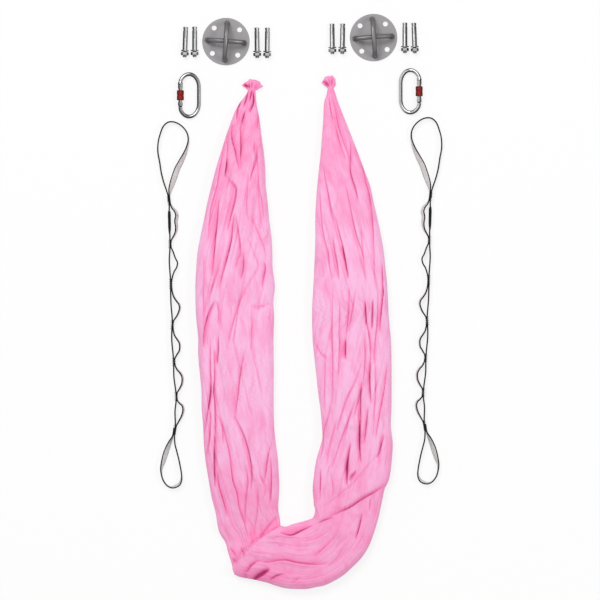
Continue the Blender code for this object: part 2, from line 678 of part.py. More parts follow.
def carabiner_gate(stem, side, carrier):
    axis = (side * -gate_line(), 0, 0)
    piece = solid(f"{stem}_gate", turned(gate_profile(), GATE_SIDES), "polished_steel", carrier, axis)
    combine(piece, spring_bore(), "DIFFERENCE", f"{stem}_spring_bore")
    for name, mesh in gate_cuts(side).items():
        combine(piece, mesh, "DIFFERENCE", f"{stem}_{name}")


def carabiner_pins(stem, side, carrier):
    """The hinge rivet, a little proud of the barrel, and the latch pin, which the lock sleeve clears."""
    line = side * -gate_line()
    hinge = drill(HINGE_PIN_DIAMETER / 2, BARREL_DIAMETER / 2 + PIN_HEAD_PROUD, PIN_SIDES)
    solid(f"{stem}_hinge_pin", hinge, "polished_steel", carrier, (line, HINGE_HEIGHT, 0))
    across, height = latch_pin_place()
    latch = drill(LATCH_PIN_DIAMETER / 2, BARREL_DIAMETER / 2 - LATCH_PIN_SET_IN, PIN_SIDES)
    solid(f"{stem}_latch_pin", latch, "polished_steel", carrier, (line + side * across, height, 0))


def lock_sleeve_profile():
    """The knurled nut in section: a thread at its foot and a counterbore that passes over the nose."""
    outer = LOCK_SLEEVE_DIAMETER / 2
    foot = -LOCK_SLEEVE_LENGTH / 2
    top = LOCK_SLEEVE_LENGTH / 2
    thread = THREAD_DIAMETER / 2 + LOCK_SLEEVE_CLEARANCE
    counterbore = BARREL_DIAMETER / 2 + LOCK_SLEEVE_CLEARANCE
    step = foot + LOCK_SLEEVE_THREAD_LENGTH
    shoulder = LOCK_SLEEVE_SHOULDER
    waist = LOCK_SLEEVE_WAIST_LENGTH / 2
    return [
        (thread, foot), (outer - shoulder, foot), (outer, foot + shoulder), (outer, -waist),
        (outer - LOCK_SLEEVE_WAIST, 0), (outer, waist), (outer, top - shoulder), (outer - shoulder, top),
        (counterbore, top), (counterbore, step), (thread, step),
    ]


def lock_sleeve(stem, side, carrier):
    mesh = turned(lock_sleeve_profile(), 2 * KNURL_COUNT, closed=True)
    bmesh.ops.remove_doubles(mesh, verts=mesh.verts, dist=WELD_DISTANCE)
    rim = LOCK_SLEEVE_DIAMETER / 2 - LOCK_SLEEVE_WAIST - KNURL_DEPTH
    for vertex in mesh.verts:
        radius = hypot(vertex.co.x, vertex.co.z)
        turn = Vector((vertex.co.x, vertex.co.z)).angle_signed(Vector((1, 0)), 0)
        if radius > rim and round(turn * KNURL_COUNT / pi) % 2:
            vertex.co.x *= 1 - KNURL_DEPTH / radius
            vertex.co.z *= 1 - KNURL_DEPTH / radius
    place = (side * -gate_line(), LOCK_SLEEVE_HEIGHT, 0)
    solid(f"{stem}_lock_sleeve", mesh, "red_anodised", carrier, place)


def gate_spring(stem, side, carrier):
    """The coil in the gate's bore that pushes on the hinge tang and shuts the gate."""
    curve = bpy.data.curves.new(f"{stem}_gate_spring", "CURVE")
    curve.dimensions = "3D"
    curve.bevel_depth = SPRING_WIRE_DIAMETER / 2
    curve.bevel_resolution = 0
    curve.use_fill_caps = True
    line = curve.splines.new("POLY")
    steps = SPRING_TURNS * SPRING_TURN_POINTS
    line.points.add(steps)
    radius = (SPRING_DIAMETER - SPRING_WIRE_DIAMETER) / 2
    start = HINGE_HEIGHT + TANG_RADIUS + SEAT_GAP + SPRING_WIRE_DIAMETER / 2
    travel = SPRING_LENGTH - SPRING_WIRE_DIAMETER
    for step in range(steps + 1):
        turn = 2 * pi * step / SPRING_TURN_POINTS
        height = start + travel * step / steps
        line.points[step].co = (radius * cos(turn), height, radius * sin(turn), 1)
    curve.materials.append(finish("zinc_steel"))
    piece = bpy.data.objects.new(f"{stem}_gate_spring", curve)
    bpy.context.scene.collection.objects.link(piece)
    piece.parent = carrier
    piece.location = (side * -gate_line(), 0, 0)


def carabiner(hand, side):
    """The carabiner leans on its thick lock sleeve, so the gate side lies higher than the spine."""
    stem = f"{hand}_carabiner"
    sleeve_radius = LOCK_SLEEVE_DIAMETER / 2
    rod_radius = ROD_DIAMETER / 2
    tilt = asin((sleeve_radius - rod_radius) / (gate_line() + spine_line()))
    place = spot(CARABINER_PIXEL, side)
    place.z = rod_radius + spine_line() * sin(tilt)
    carrier = holder(f"{stem}_place", place, (0, side * tilt, 0))
    carabiner_frame(stem, side, carrier)
    carabiner_gate(stem, side, carrier)
    carabiner_pins(stem, side, carrier)
    lock_sleeve(stem, side, carrier)
    gate_spring(stem, side, carrier)


# Daisy chains


def curve_between(points, steps):
    """A smooth curve through points, with this many steps from each point to the next."""
    found = []
    for index in range(len(points) - 1):
        first = points[max(index - 1, 0)]
        start = points[index]
        end = points[index + 1]
        last = points[min(index + 2, len(points) - 1)]
        for step in range(steps):
            share = step / steps
            found.append(catmull(first, start, end, last, share))
    found.append(points[-1])
    return found


def catmull(first, start, end, last, share):
    """A point of the curve from start to end, whose ends lean as the neighbours say."""
    square = share * share
    cube = square * share
    return 0.5 * (
        2 * start + (end - first) * share + (2 * first - 5 * start + 4 * end - last) * square
        + (3 * start - first - 3 * end + last) * cube
    )


def webbing(route, leans, width):
    """A flat strap along a plan route. A lean of zero stands it on its edge."""
    half_width = width / 2
    lift = (WEBBING_WIDTH - width) / 2
    half_thickness = WEBBING_THICKNESS / 2
    rings = []
    for index, point in enumerate(route):
        before = route[max(index - 1, 0)]
        after = route[min(index + 1, len(route) - 1)]
        along = (after - before).normalized()
        beside = Vector((along.y, -along.x, 0))
        lean = leans[index] * FULL_LEAN
        wide = Vector((0, 0, 1)) * cos(lean) + beside * sin(lean)
        thin = beside * cos(lean) - Vector((0, 0, 1)) * sin(lean)
        height = lift + half_width * abs(cos(lean)) + half_thickness * abs(sin(lean))
        middle = Vector((point.x, point.y, height))
        rings.append([
            middle + across * half_thickness * thin + up * half_width * wide
            for across, up in ((-1, -1), (1, -1), (1, 1), (-1, 1))
        ])
    mesh = loft(rings)
    bmesh.ops.triangulate(mesh, faces=mesh.faces)
    return mesh


def strap(pixels, leans, side, steps, width):
    route = curve_between([spot(pixel, side) for pixel in pixels], steps)
    spread = curve_between([Vector((lean, 0, 0)) for lean in leans], steps)
    return webbing(route, [side * lean.x for lean in spread], width)


def pocket_leans(full, count):
    """A pocket leans most at its middle."""
    return [full * sin(pi * index / (count - 1)) for index in range(count)]


def tack(ends, side):
    """The stitched stretch where both layers are one."""
    start, end = (spot(pixel, side) for pixel in ends)
    along = (end - start).normalized()
    beside = Vector((along.y, -along.x, 0)) * TACK_THICKNESS / 2
    low = (WEBBING_WIDTH - TACK_WIDTH) / 2
    outline = [start + beside, end + beside, end - beside, start - beside]
    return plate_outline([(corner.x, corner.y) for corner in outline], low, low + TACK_WIDTH)


def daisy_chain(hand, side):
    name = f"{hand}_daisy_chain"
    back = strap(BACK_RUN_PIXELS, [0] * len(BACK_RUN_PIXELS), side, 1, WEBBING_WIDTH)
    piece = solid(name, back, "grey_webbing")
    for index, ends in enumerate(TACK_PIXELS):
        combine(piece, tack(ends, side), "UNION", f"{name}_tack_{index}")
    for index, pixels in enumerate(POCKET_PIXELS):
        leans = pocket_leans(POCKET_LEAN_SHARES[index], len(pixels))
        combine(piece, strap(pixels, leans, side, 2, POCKET_WEBBING_WIDTH), "UNION", f"{name}_pocket_{index}")
    top = strap(TOP_LOOP_PIXELS, TOP_LOOP_LEAN_SHARES, side, 1, LOOP_WEBBING_WIDTH)
    combine(piece, top, "UNION", f"{name}_top_loop")
    bottom = strap(BOTTOM_LOOP_PIXELS, BOTTOM_LOOP_LEAN_SHARES, side, 1, LOOP_WEBBING_WIDTH)
    combine(piece, bottom, "UNION", f"{name}_bottom_loop")


# Hammock cloth


def cloth_drift(travelled):
    """How far the folds have wandered round the bundle, as a share of a turn. Most of it is in the bend."""
    bend = (travelled - CLOTH_BEND_START_SHARE) / (CLOTH_BEND_END_SHARE - CLOTH_BEND_START_SHARE)
    return CLOTH_LEG_DRIFT_SHARE * travelled + CLOTH_BEND_DRIFT_SHARE * min(max(bend, 0), 1)


def cloth_ring(pixels, height, travelled):
    """One cross-section of the gathered cloth: ridges and valleys above, flat where it lies on the floor."""
    outer = spot(pixels[0:2], SIDES["left"])
    inner = spot(pixels[2:4], SIDES["left"])
    middle = (outer + inner) / 2
    half = (inner - outer).length / 2
    across = (inner - outer).normalized()
    depth = min(CLOTH_FOLD_DEPTH, height * CLOTH_FOLD_LIMIT_SHARE, half * CLOTH_FOLD_LIMIT_SHARE)
    ring = []
    for index in range(CLOTH_RING_POINTS):
        turn = 2 * pi * (index / CLOTH_RING_POINTS + cloth_drift(travelled))
        valley = CLOTH_VALLEY_SHARES[index // 2 % len(CLOTH_VALLEY_SHARES)] if index % 2 else 0
        reach = power(cos(turn), CLOTH_SQUARENESS_SHARE)
        rise = power(sin(turn), CLOTH_SQUARENESS_SHARE)
        if sin(turn) < -CLOTH_FLAT_SHARE:
            rise = -1
        fold = depth * valley * (1 + min(rise, 0))
        place = middle - across * (half - fold * abs(reach)) * reach
        ring.append(place + Vector((0, 0, height / 2 * (1 + rise) - fold * max(rise, 0))))
    return ring


def hammock_cloth():
    last = len(CLOTH_STATION_PIXELS) - 1
    rings = []
    for index, pixels in enumerate(CLOTH_STATION_PIXELS):
        rings.append(cloth_ring(pixels, CLOTH_HEIGHT * CLOTH_HEIGHT_SHARES[index], index / last))
    solid("hammock_cloth", loft(rings), "pink_jersey")


def main():
    clear_scene()
    hammock_cloth()
    for hand, side in SIDES.items():
        ceiling_plate(hand, side)
        for label in ANCHOR_PIXELS:
            sleeve_anchor(label, hand, side)
        carabiner(hand, side)
        daisy_chain(hand, side)


main()
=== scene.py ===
"""The aerial hammock kit, laid flat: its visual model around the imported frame."""

from math import asin, atan, cos, pi, radians, sin

import bmesh
import bpy
import numpy as np
from bpy.props import FloatProperty, FloatVectorProperty, PointerProperty
from bpy.types import Operator, Panel, PropertyGroup
from mathutils import Matrix, Vector, noise


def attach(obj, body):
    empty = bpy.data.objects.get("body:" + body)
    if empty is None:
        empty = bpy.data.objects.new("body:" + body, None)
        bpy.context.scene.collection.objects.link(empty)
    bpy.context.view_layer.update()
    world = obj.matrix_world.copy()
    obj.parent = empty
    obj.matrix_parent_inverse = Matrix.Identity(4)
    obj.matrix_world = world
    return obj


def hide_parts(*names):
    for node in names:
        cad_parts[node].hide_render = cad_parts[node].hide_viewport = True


bl_info = {
    "name": "Aerial hammock kit",
    "version": (1, 0, 0),
    "blender": (4, 5, 0),
    "location": "View3D > Sidebar > Hammock",
    "description": "Builds the cloth, straps and fittings of an aerial hammock kit around its frame",
    "category": "Add Mesh",
}

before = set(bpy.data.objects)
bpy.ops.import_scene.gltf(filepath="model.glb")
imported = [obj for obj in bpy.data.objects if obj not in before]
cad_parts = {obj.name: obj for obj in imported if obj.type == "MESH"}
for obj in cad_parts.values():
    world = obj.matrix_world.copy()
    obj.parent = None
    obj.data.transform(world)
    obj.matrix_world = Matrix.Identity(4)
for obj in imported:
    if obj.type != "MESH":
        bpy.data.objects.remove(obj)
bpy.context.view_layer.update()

# Plan of the laid-out kit. Places are pixels of the plan, and the right-hand set mirrors the left-hand one.
PIXEL = 0.0025
MIDDLE_PIXEL = (299.75, 300.83)
RIGHT_SET_RISE = 0.010
HANDS = {"left": 1, "right": -1}


def spot(x, y, z=0.0):
    """A pixel of the plan as a point of the left-hand set."""
    return Vector(((x - MIDDLE_PIXEL[0]) * PIXEL, (MIDDLE_PIXEL[1] - y) * PIXEL, z))


def to_hand(mesh, side):
    """Moves a mesh of the left-hand set over to its own hand."""
    if side < 0:
        bmesh.ops.scale(mesh, vec=(-1, 1, 1), verts=mesh.verts)
        bmesh.ops.translate(mesh, vec=(0, RIGHT_SET_RISE, 0), verts=mesh.verts)
        bmesh.ops.reverse_faces(mesh, faces=mesh.faces)
    return mesh


# Mesh helpers

UP = Vector((0, 0, 1))
MERGE_DISTANCE = 1e-6
# Edges sharper than the first are bevelled, and edges blunter than the second are shaded smooth.
SHARP_ANGLE = radians(50)
SMOOTH_ANGLE = radians(38)


def of_kind(items, kind):
    return [item for item in items if isinstance(item, kind)]


def stored(name, mesh):
    """Keeps a bmesh as mesh data and frees it."""
    data = bpy.data.meshes.new(name)
    mesh.to_mesh(data)
    mesh.free()
    return data


def shown(name, data):
    """A new object in the scene."""
    made = bpy.data.objects.new(name, data)
    bpy.context.scene.collection.objects.link(made)
    return made


def spun(profile, steps, closed=False):
    """A round shape about the Y axis from (radius, height) points."""
    mesh = bmesh.new()
    verts = [mesh.verts.new((radius, height, 0)) for radius, height in profile]
    ends = list(zip(verts, verts[1:]))
    if closed:
        ends.append((verts[-1], verts[0]))
    edges = [mesh.edges.new(pair) for pair in ends]
    bmesh.ops.spin(
        mesh, geom=verts + edges, cent=(0, 0, 0), axis=(0, 1, 0), angle=2 * pi, steps=steps, use_merge=True
    )
    bmesh.ops.remove_doubles(mesh, verts=mesh.verts, dist=MERGE_DISTANCE)
    bmesh.ops.recalc_face_normals(mesh, faces=mesh.faces)
    return mesh


def swept(section, frames, capped=True):
    """A closed section carried through a row of frames, with its place noted as across and along."""
    mesh = bmesh.new()
    across = mesh.verts.layers.float.new("across")
    along = mesh.verts.layers.float.new("along")
    verts = []
    for place in section:
        vert = mesh.verts.new(frames[0] @ place)
        vert[across] = place.y
        verts.append(vert)
    edges = [mesh.edges.new((verts[index - 1], verts[index])) for index in range(len(verts))]
    travelled = 0.0
    for before, after in zip(frames, frames[1:]):
        grown = bmesh.ops.extrude_edge_only(mesh, edges=edges)["geom"]
        verts, edges = of_kind(grown, bmesh.types.BMVert), of_kind(grown, bmesh.types.BMEdge)
        bmesh.ops.transform(mesh, matrix=after @ before.inverted(), verts=verts)
        travelled += (after.translation - before.translation).length
        for vert in verts:
            vert[along] = travelled
    if capped:
        rims = [edge for edge in mesh.edges if edge.is_boundary]
        bmesh.ops.holes_fill(mesh, edges=rims, sides=0)
    bmesh.ops.recalc_face_normals(mesh, faces=mesh.faces)
    return mesh


def between(first, start, end, last, share):
    """A place on the smooth curve from start to end."""
    square = share * share
    cube = square * share
    return 0.5 * (
        2 * start + (end - first) * share + (2 * first - 5 * start + 4 * end - last) * square
        + (3 * start - first - 3 * end + last) * cube
    )


def smooth_points(points, steps):
    """A smooth curve through points, with this many steps to each next one."""
    padded = [points[0], *points, points[-1]]
    found = []
    for index in range(len(points) - 1):
        found += [between(*padded[index:index + 4], step / steps) for step in range(steps)]
    return found + [points[-1]]


def circle_section(sides):
    return [Vector((cos(2 * pi * i / sides), sin(2 * pi * i / sides), 0)) for i in range(sides)]


def way_at(points, index):
    """The direction of a row of points at one of them."""
    return (points[min(index + 1, len(points) - 1)] - points[max(index - 1, 0)]).normalized()


def axes_at(place, *axes):
    """A frame at a place from its X, Y and Z axes."""
    return Matrix.Translation(place) @ Matrix(axes).transposed().to_4x4()


def rod(points, radii, sides, normal):
    """A round bar along a flat curve."""
    frames = []
    for index, point in enumerate(points):
        tangent = way_at(points, index)
        turned = axes_at(point, normal.cross(tangent), normal, tangent)
        frames.append(turned @ Matrix.Diagonal((radii[index], radii[index], 1, 1)))
    return swept(circle_section(sides), frames)


def plate(outline, thickness):
    """A flat plate from its outline in the XY plane, with its middle at height zero."""
    mesh = bmesh.new()
    face = mesh.faces.new([mesh.verts.new((x, y, -thickness / 2)) for x, y in outline])
    grown = bmesh.ops.extrude_face_region(mesh, geom=[face])["geom"]
    bmesh.ops.translate(mesh, vec=(0, 0, thickness), verts=of_kind(grown, bmesh.types.BMVert))
    bmesh.ops.recalc_face_normals(mesh, faces=mesh.faces)
    return mesh


def join_into(mesh, other):
    """Adds another mesh's faces to this one."""
    data = stored("joining", other)
    mesh.from_mesh(data)
    bpy.data.meshes.remove(data)
    return mesh


def placed(mesh, matrix):
    bmesh.ops.transform(mesh, matrix=matrix, verts=mesh.verts)
    return mesh


def rounded(mesh, width):
    """Bevels the sharp edges of a solid."""
    edges = [edge for edge in mesh.edges if edge.is_manifold and edge.calc_face_angle(0) > SHARP_ANGLE]
    bmesh.ops.bevel(
        mesh, geom=edges, offset=width, offset_type="OFFSET", segments=1, profile=0.5,
        affect="EDGES", material=-1, clamp_overlap=True,
    )
    return mesh


def finished(name, mesh, finish, body, replaced=(), crease=SMOOTH_ANGLE):
    """Turns a mesh into a piece that rides on its body."""
    for face in mesh.faces:
        face.smooth = True
    for edge in mesh.edges:
        edge.smooth = not edge.is_manifold or edge.calc_face_angle(0) < crease
    piece = shown(name, stored(name, mesh))
    piece.data.materials.append(finish)
    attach(piece, body)
    if replaced:
        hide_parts(*replaced)
    return piece


def dress(node, finish):
    """Gives a carried-over node its finish."""
    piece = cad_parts[node]
    if not piece.material_slots:
        piece.data.materials.append(finish)
    for place in piece.material_slots:
        place.material = finish


# Finishes

# Streaks in the jersey: noise scale, stretch along the bundle, where they start and are full, and their share.
JERSEY_STREAKS = (
    (22.0, 0.40, 0.44, 0.66, 0.34), (60.0, 0.20, 0.46, 0.70, 0.40), (150.0, 0.14, 0.48, 0.76, 0.30),
    (420.0, 0.40, 0.42, 0.80, 0.20),
)
# One rib and one row of the knit, and one row of the webbing's twill, in metres.
KNIT_RIB = 0.0016
KNIT_ROW = 0.0022
TWILL_ROW = 0.0024
TWILL_SLANT = 24.0
WARP_THREADS = 6
EDGE_SOFTNESS = 0.05
DULL_SPECULAR = 0.12
WORN_SHARE = 0.84


def dimmed(colour, share):
    """A colour times a share, up to full."""
    return tuple(min(part * share, 1) for part in colour)


class Wiring:
    """The short way to add nodes to a tree. An input takes a value or another node's output."""

    def __init__(self, tree):
        self.tree = tree

    def feed(self, socket, value):
        if isinstance(value, bpy.types.NodeSocket):
            self.tree.links.new(value, socket)
        else:
            socket.default_value = value

    def node(self, kind, inputs=None, **values):
        """A node with its settings, and its inputs by name or by number."""
        made = self.tree.nodes.new(kind)
        for key, value in values.items():
            setattr(made, key, value)
        for key, value in (inputs or {}).items():
            self.feed(made.inputs[key], value)
        return made

    def maths(self, operation, first, second=None, clamp=False):
        inputs = {0: first} if second is None else {0: first, 1: second}
        return self.node("ShaderNodeMath", inputs, operation=operation, use_clamp=clamp).outputs[0]

    def times(self, first, second):
        return self.maths("MULTIPLY", first, second)

    def backdrop_rays(self):
        """One where a ray comes from the camera, a mirror or glass."""
        path = self.node("ShaderNodeLightPath").outputs
        seen = path["Is Camera Ray"]
        for name in ("Is Glossy Ray", "Is Transmission Ray"):
            seen = self.maths("MAXIMUM", seen, path[name])
        return seen


class Finish(Wiring):
    """A material with its nodes."""

    def __init__(self, name, colour, roughness, metallic=0.0, extra=None):
        self.material = bpy.data.materials.get(name) or bpy.data.materials.new(name)
        self.material.use_nodes = True
        super().__init__(self.material.node_tree)
        self.tree.nodes.clear()
        self.shader = self.node("ShaderNodeBsdfPrincipled", {
            "Base Color": (*colour, 1), "Roughness": roughness, "Metallic": metallic, **(extra or {}),
        })
        self.output = self.node("ShaderNodeOutputMaterial", {"Surface": self.shader.outputs[0]})
        self.place = self.node("ShaderNodeTexCoord").outputs["Object"]

    def attribute(self, name):
        return self.node("ShaderNodeAttribute", attribute_name=name).outputs["Fac"]

    def noise(self, scale, detail, vector=None):
        vector = self.place if vector is None else vector
        made = self.node("ShaderNodeTexNoise", {"Scale": scale, "Detail": detail, "Vector": vector})
        return made.outputs["Fac"]

    def flow_noise(self, scale, stretch, detail):
        """Noise drawn out along the way that the cloth runs."""
        drawn = self.times(self.attribute("along"), stretch)
        return self.noise(scale, detail, self.node(
            "ShaderNodeCombineXYZ", {0: self.attribute("across"), 1: drawn}
        ).outputs[0])

    def waves(self, factor, length):
        """Waves of this length along an attribute."""
        return self.maths("SINE", self.times(factor, 2 * pi / length))

    def ramp(self, factor, low, high):
        """Zero below low, one above high, and a smooth rise between them."""
        return self.node(
            "ShaderNodeMapRange", {"From Min": low, "From Max": high, "Value": factor},
            interpolation_type="SMOOTHSTEP",
        ).outputs[0]

    def mix(self, factor, first, second):
        """From the first colour to the second. Each is three numbers or another node's output."""
        inputs = {"Factor": factor}
        for number, value in ((6, first), (7, second)):
            inputs[number] = (*value, 1) if isinstance(value, tuple) else value
        return self.node("ShaderNodeMix", inputs, data_type="RGBA").outputs[2]

    def colour(self, value):
        self.feed(self.shader.inputs["Base Color"], value)

    def roughness(self, factor, low, high):
        made = self.node("ShaderNodeMapRange", {"To Min": low, "To Max": high, "Value": factor})
        self.feed(self.shader.inputs["Roughness"], made.outputs[0])

    def bump(self, height, strength, distance):
        """Raises the surface. A second call adds to the first."""
        made = self.node("ShaderNodeBump", {"Strength": strength, "Distance": distance, "Height": height})
        target = self.shader.inputs["Normal"]
        if target.is_linked:
            self.feed(made.inputs["Normal"], target.links[0].from_socket)
        self.feed(target, made.outputs[0])

    def mirrored_normal(self):
        """The way a surface faces, mirrored on the right-hand set so that the painted glints and shade fall alike
        on both sets.
        """
        place = self.node("ShaderNodeSeparateXYZ", {0: self.place}).outputs
        normal = self.node("ShaderNodeTexCoord").outputs["Normal"]
        turned = self.node("ShaderNodeSeparateXYZ", {0: normal}).outputs
        side = self.times(self.maths("SIGN", place[0]), -1.0)
        joined = {0: self.times(turned[0], side), 1: turned[1], 2: turned[2]}
        return self.node("ShaderNodeCombineXYZ", joined).outputs[0]

    def facing(self, normal, way):
        """One where the surface faces this way, zero where it stands square to it."""
        return self.node(
            "ShaderNodeVectorMath", {0: normal, 1: Vector(way).normalized()}, operation="DOT_PRODUCT"
        ).outputs["Value"]


def jersey(chosen):
    """Matt stretch jersey: fine knit ribs, long streaks and creases, and shade painted inside the folds."""
    finish = Finish("pink_jersey", chosen.colour, 0.86, extra={
        "Sheen Weight": 0.30, "Sheen Roughness": 0.40, "Sheen Tint": (1.0, 0.78, 0.90, 1),
        "Specular IOR Level": DULL_SPECULAR,
    })
    pale, plain = tuple(chosen.pale_colour), tuple(chosen.colour)
    shade, deep = tuple(chosen.shade_colour), tuple(chosen.crease_shade_colour)
    tone, fold = finish.attribute("tone"), finish.attribute("fold")
    # Loose cloth is paler, and so are soft blotches.
    blotches = finish.times(finish.ramp(finish.noise(26.0, 3.0), 0.34, 0.70), 0.35)
    body = finish.mix(finish.maths("ADD", tone, blotches, True), plain, pale)
    rest = finish.maths("SUBTRACT", 1.0, tone, True)
    patches = finish.times(finish.ramp(finish.noise(42.0, 2.0), 0.48, 0.70), rest)
    body = finish.mix(finish.times(patches, 0.42), body, shade)
    relief = 0.0
    for scale, stretch, low, high, share in JERSEY_STREAKS:
        streaks = finish.times(finish.ramp(finish.flow_noise(scale, stretch, 3.0), low, high), share)
        body = finish.mix(streaks, body, shade)
        relief = finish.maths("ADD", streaks, relief)
    # Thin wrinkles follow the middle line of a drawn-out noise, with shade painted along them.
    vein = finish.maths("ABSOLUTE", finish.maths("SUBTRACT", finish.flow_noise(30.0, 0.12, 0.3), 0.5))
    wrinkle = finish.maths("SUBTRACT", 1.0, finish.ramp(vein, 0.0, 0.026), True)
    wrinkle = finish.times(wrinkle, finish.ramp(finish.noise(16.0, 1.0), 0.46, 0.62))
    body = finish.mix(finish.times(wrinkle, 0.13), body, deep)
    # The fold attribute is painted shade: the slopes of folds take the shade colour, and their insides the crease
    # shade colour.
    body = finish.mix(finish.ramp(fold, 0.02, 0.40), body, shade)
    finish.colour(finish.mix(finish.ramp(fold, 0.28, 1.0), body, deep))
    finish.bump(finish.maths("SUBTRACT", 1.0, finish.maths("ADD", wrinkle, relief)), 0.45, 0.0012)
    ribs = finish.waves(finish.attribute("across"), KNIT_RIB)
    knit = finish.times(ribs, finish.waves(finish.attribute("along"), KNIT_ROW))
    finish.bump(finish.maths("ADD", knit, finish.noise(700.0, 2.0)), 0.25, 0.0002)
    return finish.material


def webbing(chosen):
    """Woven webbing: a pale grey face between two black edges, with a twill and some fuzz."""
    pale = tuple(chosen.face_colour)
    finish = Finish("webbing", pale, 0.82, extra={"Specular IOR Level": DULL_SPECULAR})
    across, along = finish.attribute("across"), finish.attribute("along")
    out = finish.maths("ABSOLUTE", across)
    edge = finish.ramp(out, chosen.face_share - EDGE_SOFTNESS, chosen.face_share + EDGE_SOFTNESS)
    slant = finish.maths("ADD", finish.times(along, 2 * pi / TWILL_ROW), finish.times(out, TWILL_SLANT))
    twill = finish.maths("SINE", slant)
    warp = finish.waves(across, 1 / WARP_THREADS)
    dim = dimmed(pale, 0.80)
    face = finish.mix(finish.ramp(finish.noise(160.0, 3.0), 0.3, 0.75), dim, pale)
    woven = finish.mix(finish.ramp(twill, -0.9, 0.9), dim, face)
    finish.colour(finish.mix(edge, woven, tuple(chosen.edge_colour)))
    finish.bump(finish.maths("ADD", twill, finish.times(warp, 0.6)), 0.5, 0.0003)
    return finish.material


def stitch_thread():
    finish = Finish("stitch_thread", (0.020, 0.020, 0.022), 0.7)
    stretch = finish.node("ShaderNodeMapping", {"Scale": (1, 0.3, 1), "Vector": finish.place})
    strands = finish.noise(900.0, 1.0, stretch.outputs[0])
    finish.colour(finish.mix(finish.ramp(strands, 0.3, 0.7), (0.012, 0.012, 0.013), (0.05, 0.05, 0.055)))
    finish.bump(strands, 0.4, 0.0002)
    return finish.material


def metal(name, colour, roughness, metallic=1.0, shade_share=1.0, glints=(), scale=60.0, bump=0.12, far_gain=1.0):
    """Plated or polished metal: shade painted over the whole by the shade share, painted glints where it faces a
    window or a lamp, and fine grain.

    The right-hand set lies farther from the lamp and catches less of its real glint, so its painted glints are
    brighter by the gain.
    """
    finish = Finish(name, colour, roughness, metallic)
    mottle = finish.noise(scale, 4.0)
    body = finish.mix(finish.ramp(mottle, 0.3, 0.7), dimmed(colour, shade_share * WORN_SHARE), dimmed(colour, shade_share))
    normal = finish.mirrored_normal()
    place = finish.node("ShaderNodeSeparateXYZ", {0: finish.place})
    far = finish.maths("GREATER_THAN", place.outputs[0], 0.0)
    # Each glint paints a highlight where the surface faces its way.
    for way, low, high, share in glints:
        tint = finish.mix(far, dimmed(colour, share), dimmed(colour, share * far_gain))
        body = finish.mix(finish.ramp(finish.facing(normal, way), low, high), body, tint)
    finish.colour(body)
    finish.roughness(mottle, roughness - 0.06, roughness + 0.08)
    finish.bump(finish.noise(scale * 12, 2.0), bump, 0.00005)
    return finish.material


def knurled_red(chosen):
    """Anodised red: shade painted in the cuts of the knurl and down its sides, paler on its worn points."""
    red = tuple(chosen.sleeve_colour)
    finish = Finish("red_anodised", red, 0.40, 0.90)
    height = finish.attribute("across")
    # The knurl's cuts are painted with shade.
    body = finish.mix(finish.ramp(height, 0.0, 0.55), dimmed(red, 0.30), red)
    body = finish.mix(finish.ramp(height, 0.6, 1.0), body, (red[0] * 2.1, red[1] * 4, red[2] * 4))
    # Shade is painted down the sides, where the sleeve faces away from the top.
    upward = finish.ramp(finish.facing(finish.mirrored_normal(), (0.1, 0, 1)), 0.42, 0.97)
    finish.colour(finish.mix(upward, dimmed(red, 0.22), body))
    finish.roughness(finish.noise(300.0, 2.0), 0.34, 0.48)
    return finish.material


# Settings


def colour_property(name, description, default):
    return FloatVectorProperty(
        name=name, description=description, default=default, subtype="COLOR", size=3, min=0, max=1
    )


def length_property(name, description, default):
    return FloatProperty(name=name, description=description, default=default, unit="LENGTH", min=0)


class HammockStageSettings(PropertyGroup):
    camera_height: length_property("Camera height", "Height of the camera above the floor", 12.5)
    picture_width: length_property("Picture width", "Width of floor that the picture takes in", 1.5)
    key_strength: FloatProperty(name="Key light", description="Power of the large soft lamp", default=325.0)
    fill_strength: FloatProperty(name="Fill light", description="Power of the weaker lamp", default=122.0)
    sky_strength: FloatProperty(name="Room light", description="Strength of the even light", default=0.53)
    floor_colour: colour_property("Floor colour", "Colour of the studio floor", (0.93, 0.93, 0.93))


class HammockClothSettings(PropertyGroup):
    height: length_property("Bundle height", "Height of the gathered bundle", 0.046)
    flat_width: length_property("Cloth width", "Width of the jersey before it is gathered", 1.40)
    flat_length: length_property("Cloth length", "Length of the jersey from end to end", 2.75)
    fold_depth: FloatProperty(name="Fold depth", description="Depth of the folds", default=0.85)
    colour: colour_property("Jersey colour", "Colour of the jersey", (0.945, 0.385, 0.635))
    pale_colour: colour_property("Pale colour", "Colour where it lies loose", (0.955, 0.52, 0.775))
    shade_colour: colour_property("Shade colour", "Colour on the slopes of folds", (0.95, 0.245, 0.50))
    # The fold colour is the shade painted inside the folds.
    crease_shade_colour: colour_property("Fold colour", "Colour inside the folds", (0.46, 0.035, 0.155))


class HammockStrapSettings(PropertyGroup):
    width: length_property("Webbing width", "Width of the webbing", 0.016)
    thickness: length_property("Webbing thickness", "Thickness of the webbing", 0.0033)
    face_share: FloatProperty(name="Face share", description="Share of the width that is pale", default=0.80)
    face_colour: colour_property("Face colour", "Colour of the pale face", (0.80, 0.765, 0.765))
    edge_colour: colour_property("Edge colour", "Colour of both edges", (0.012, 0.012, 0.012))


class HammockMetalSettings(PropertyGroup):
    plate_colour: colour_property("Plate colour", "Colour of the ceiling plates", (0.325, 0.310, 0.322))
    bar_colour: colour_property("Bar colour", "Colour of the loop bars", (0.155, 0.145, 0.148))
    zinc_colour: colour_property("Zinc colour", "Colour of the sleeve anchors", (0.80, 0.80, 0.80))
    steel_colour: colour_property("Steel colour", "Colour of the carabiners", (0.38, 0.37, 0.38))
    sleeve_colour: colour_property("Lock sleeve colour", "Colour of the lock sleeves", (0.145, 0.007, 0.007))


def settings(name):
    return getattr(bpy.context.scene, f"hammock_{name}")


# Stage

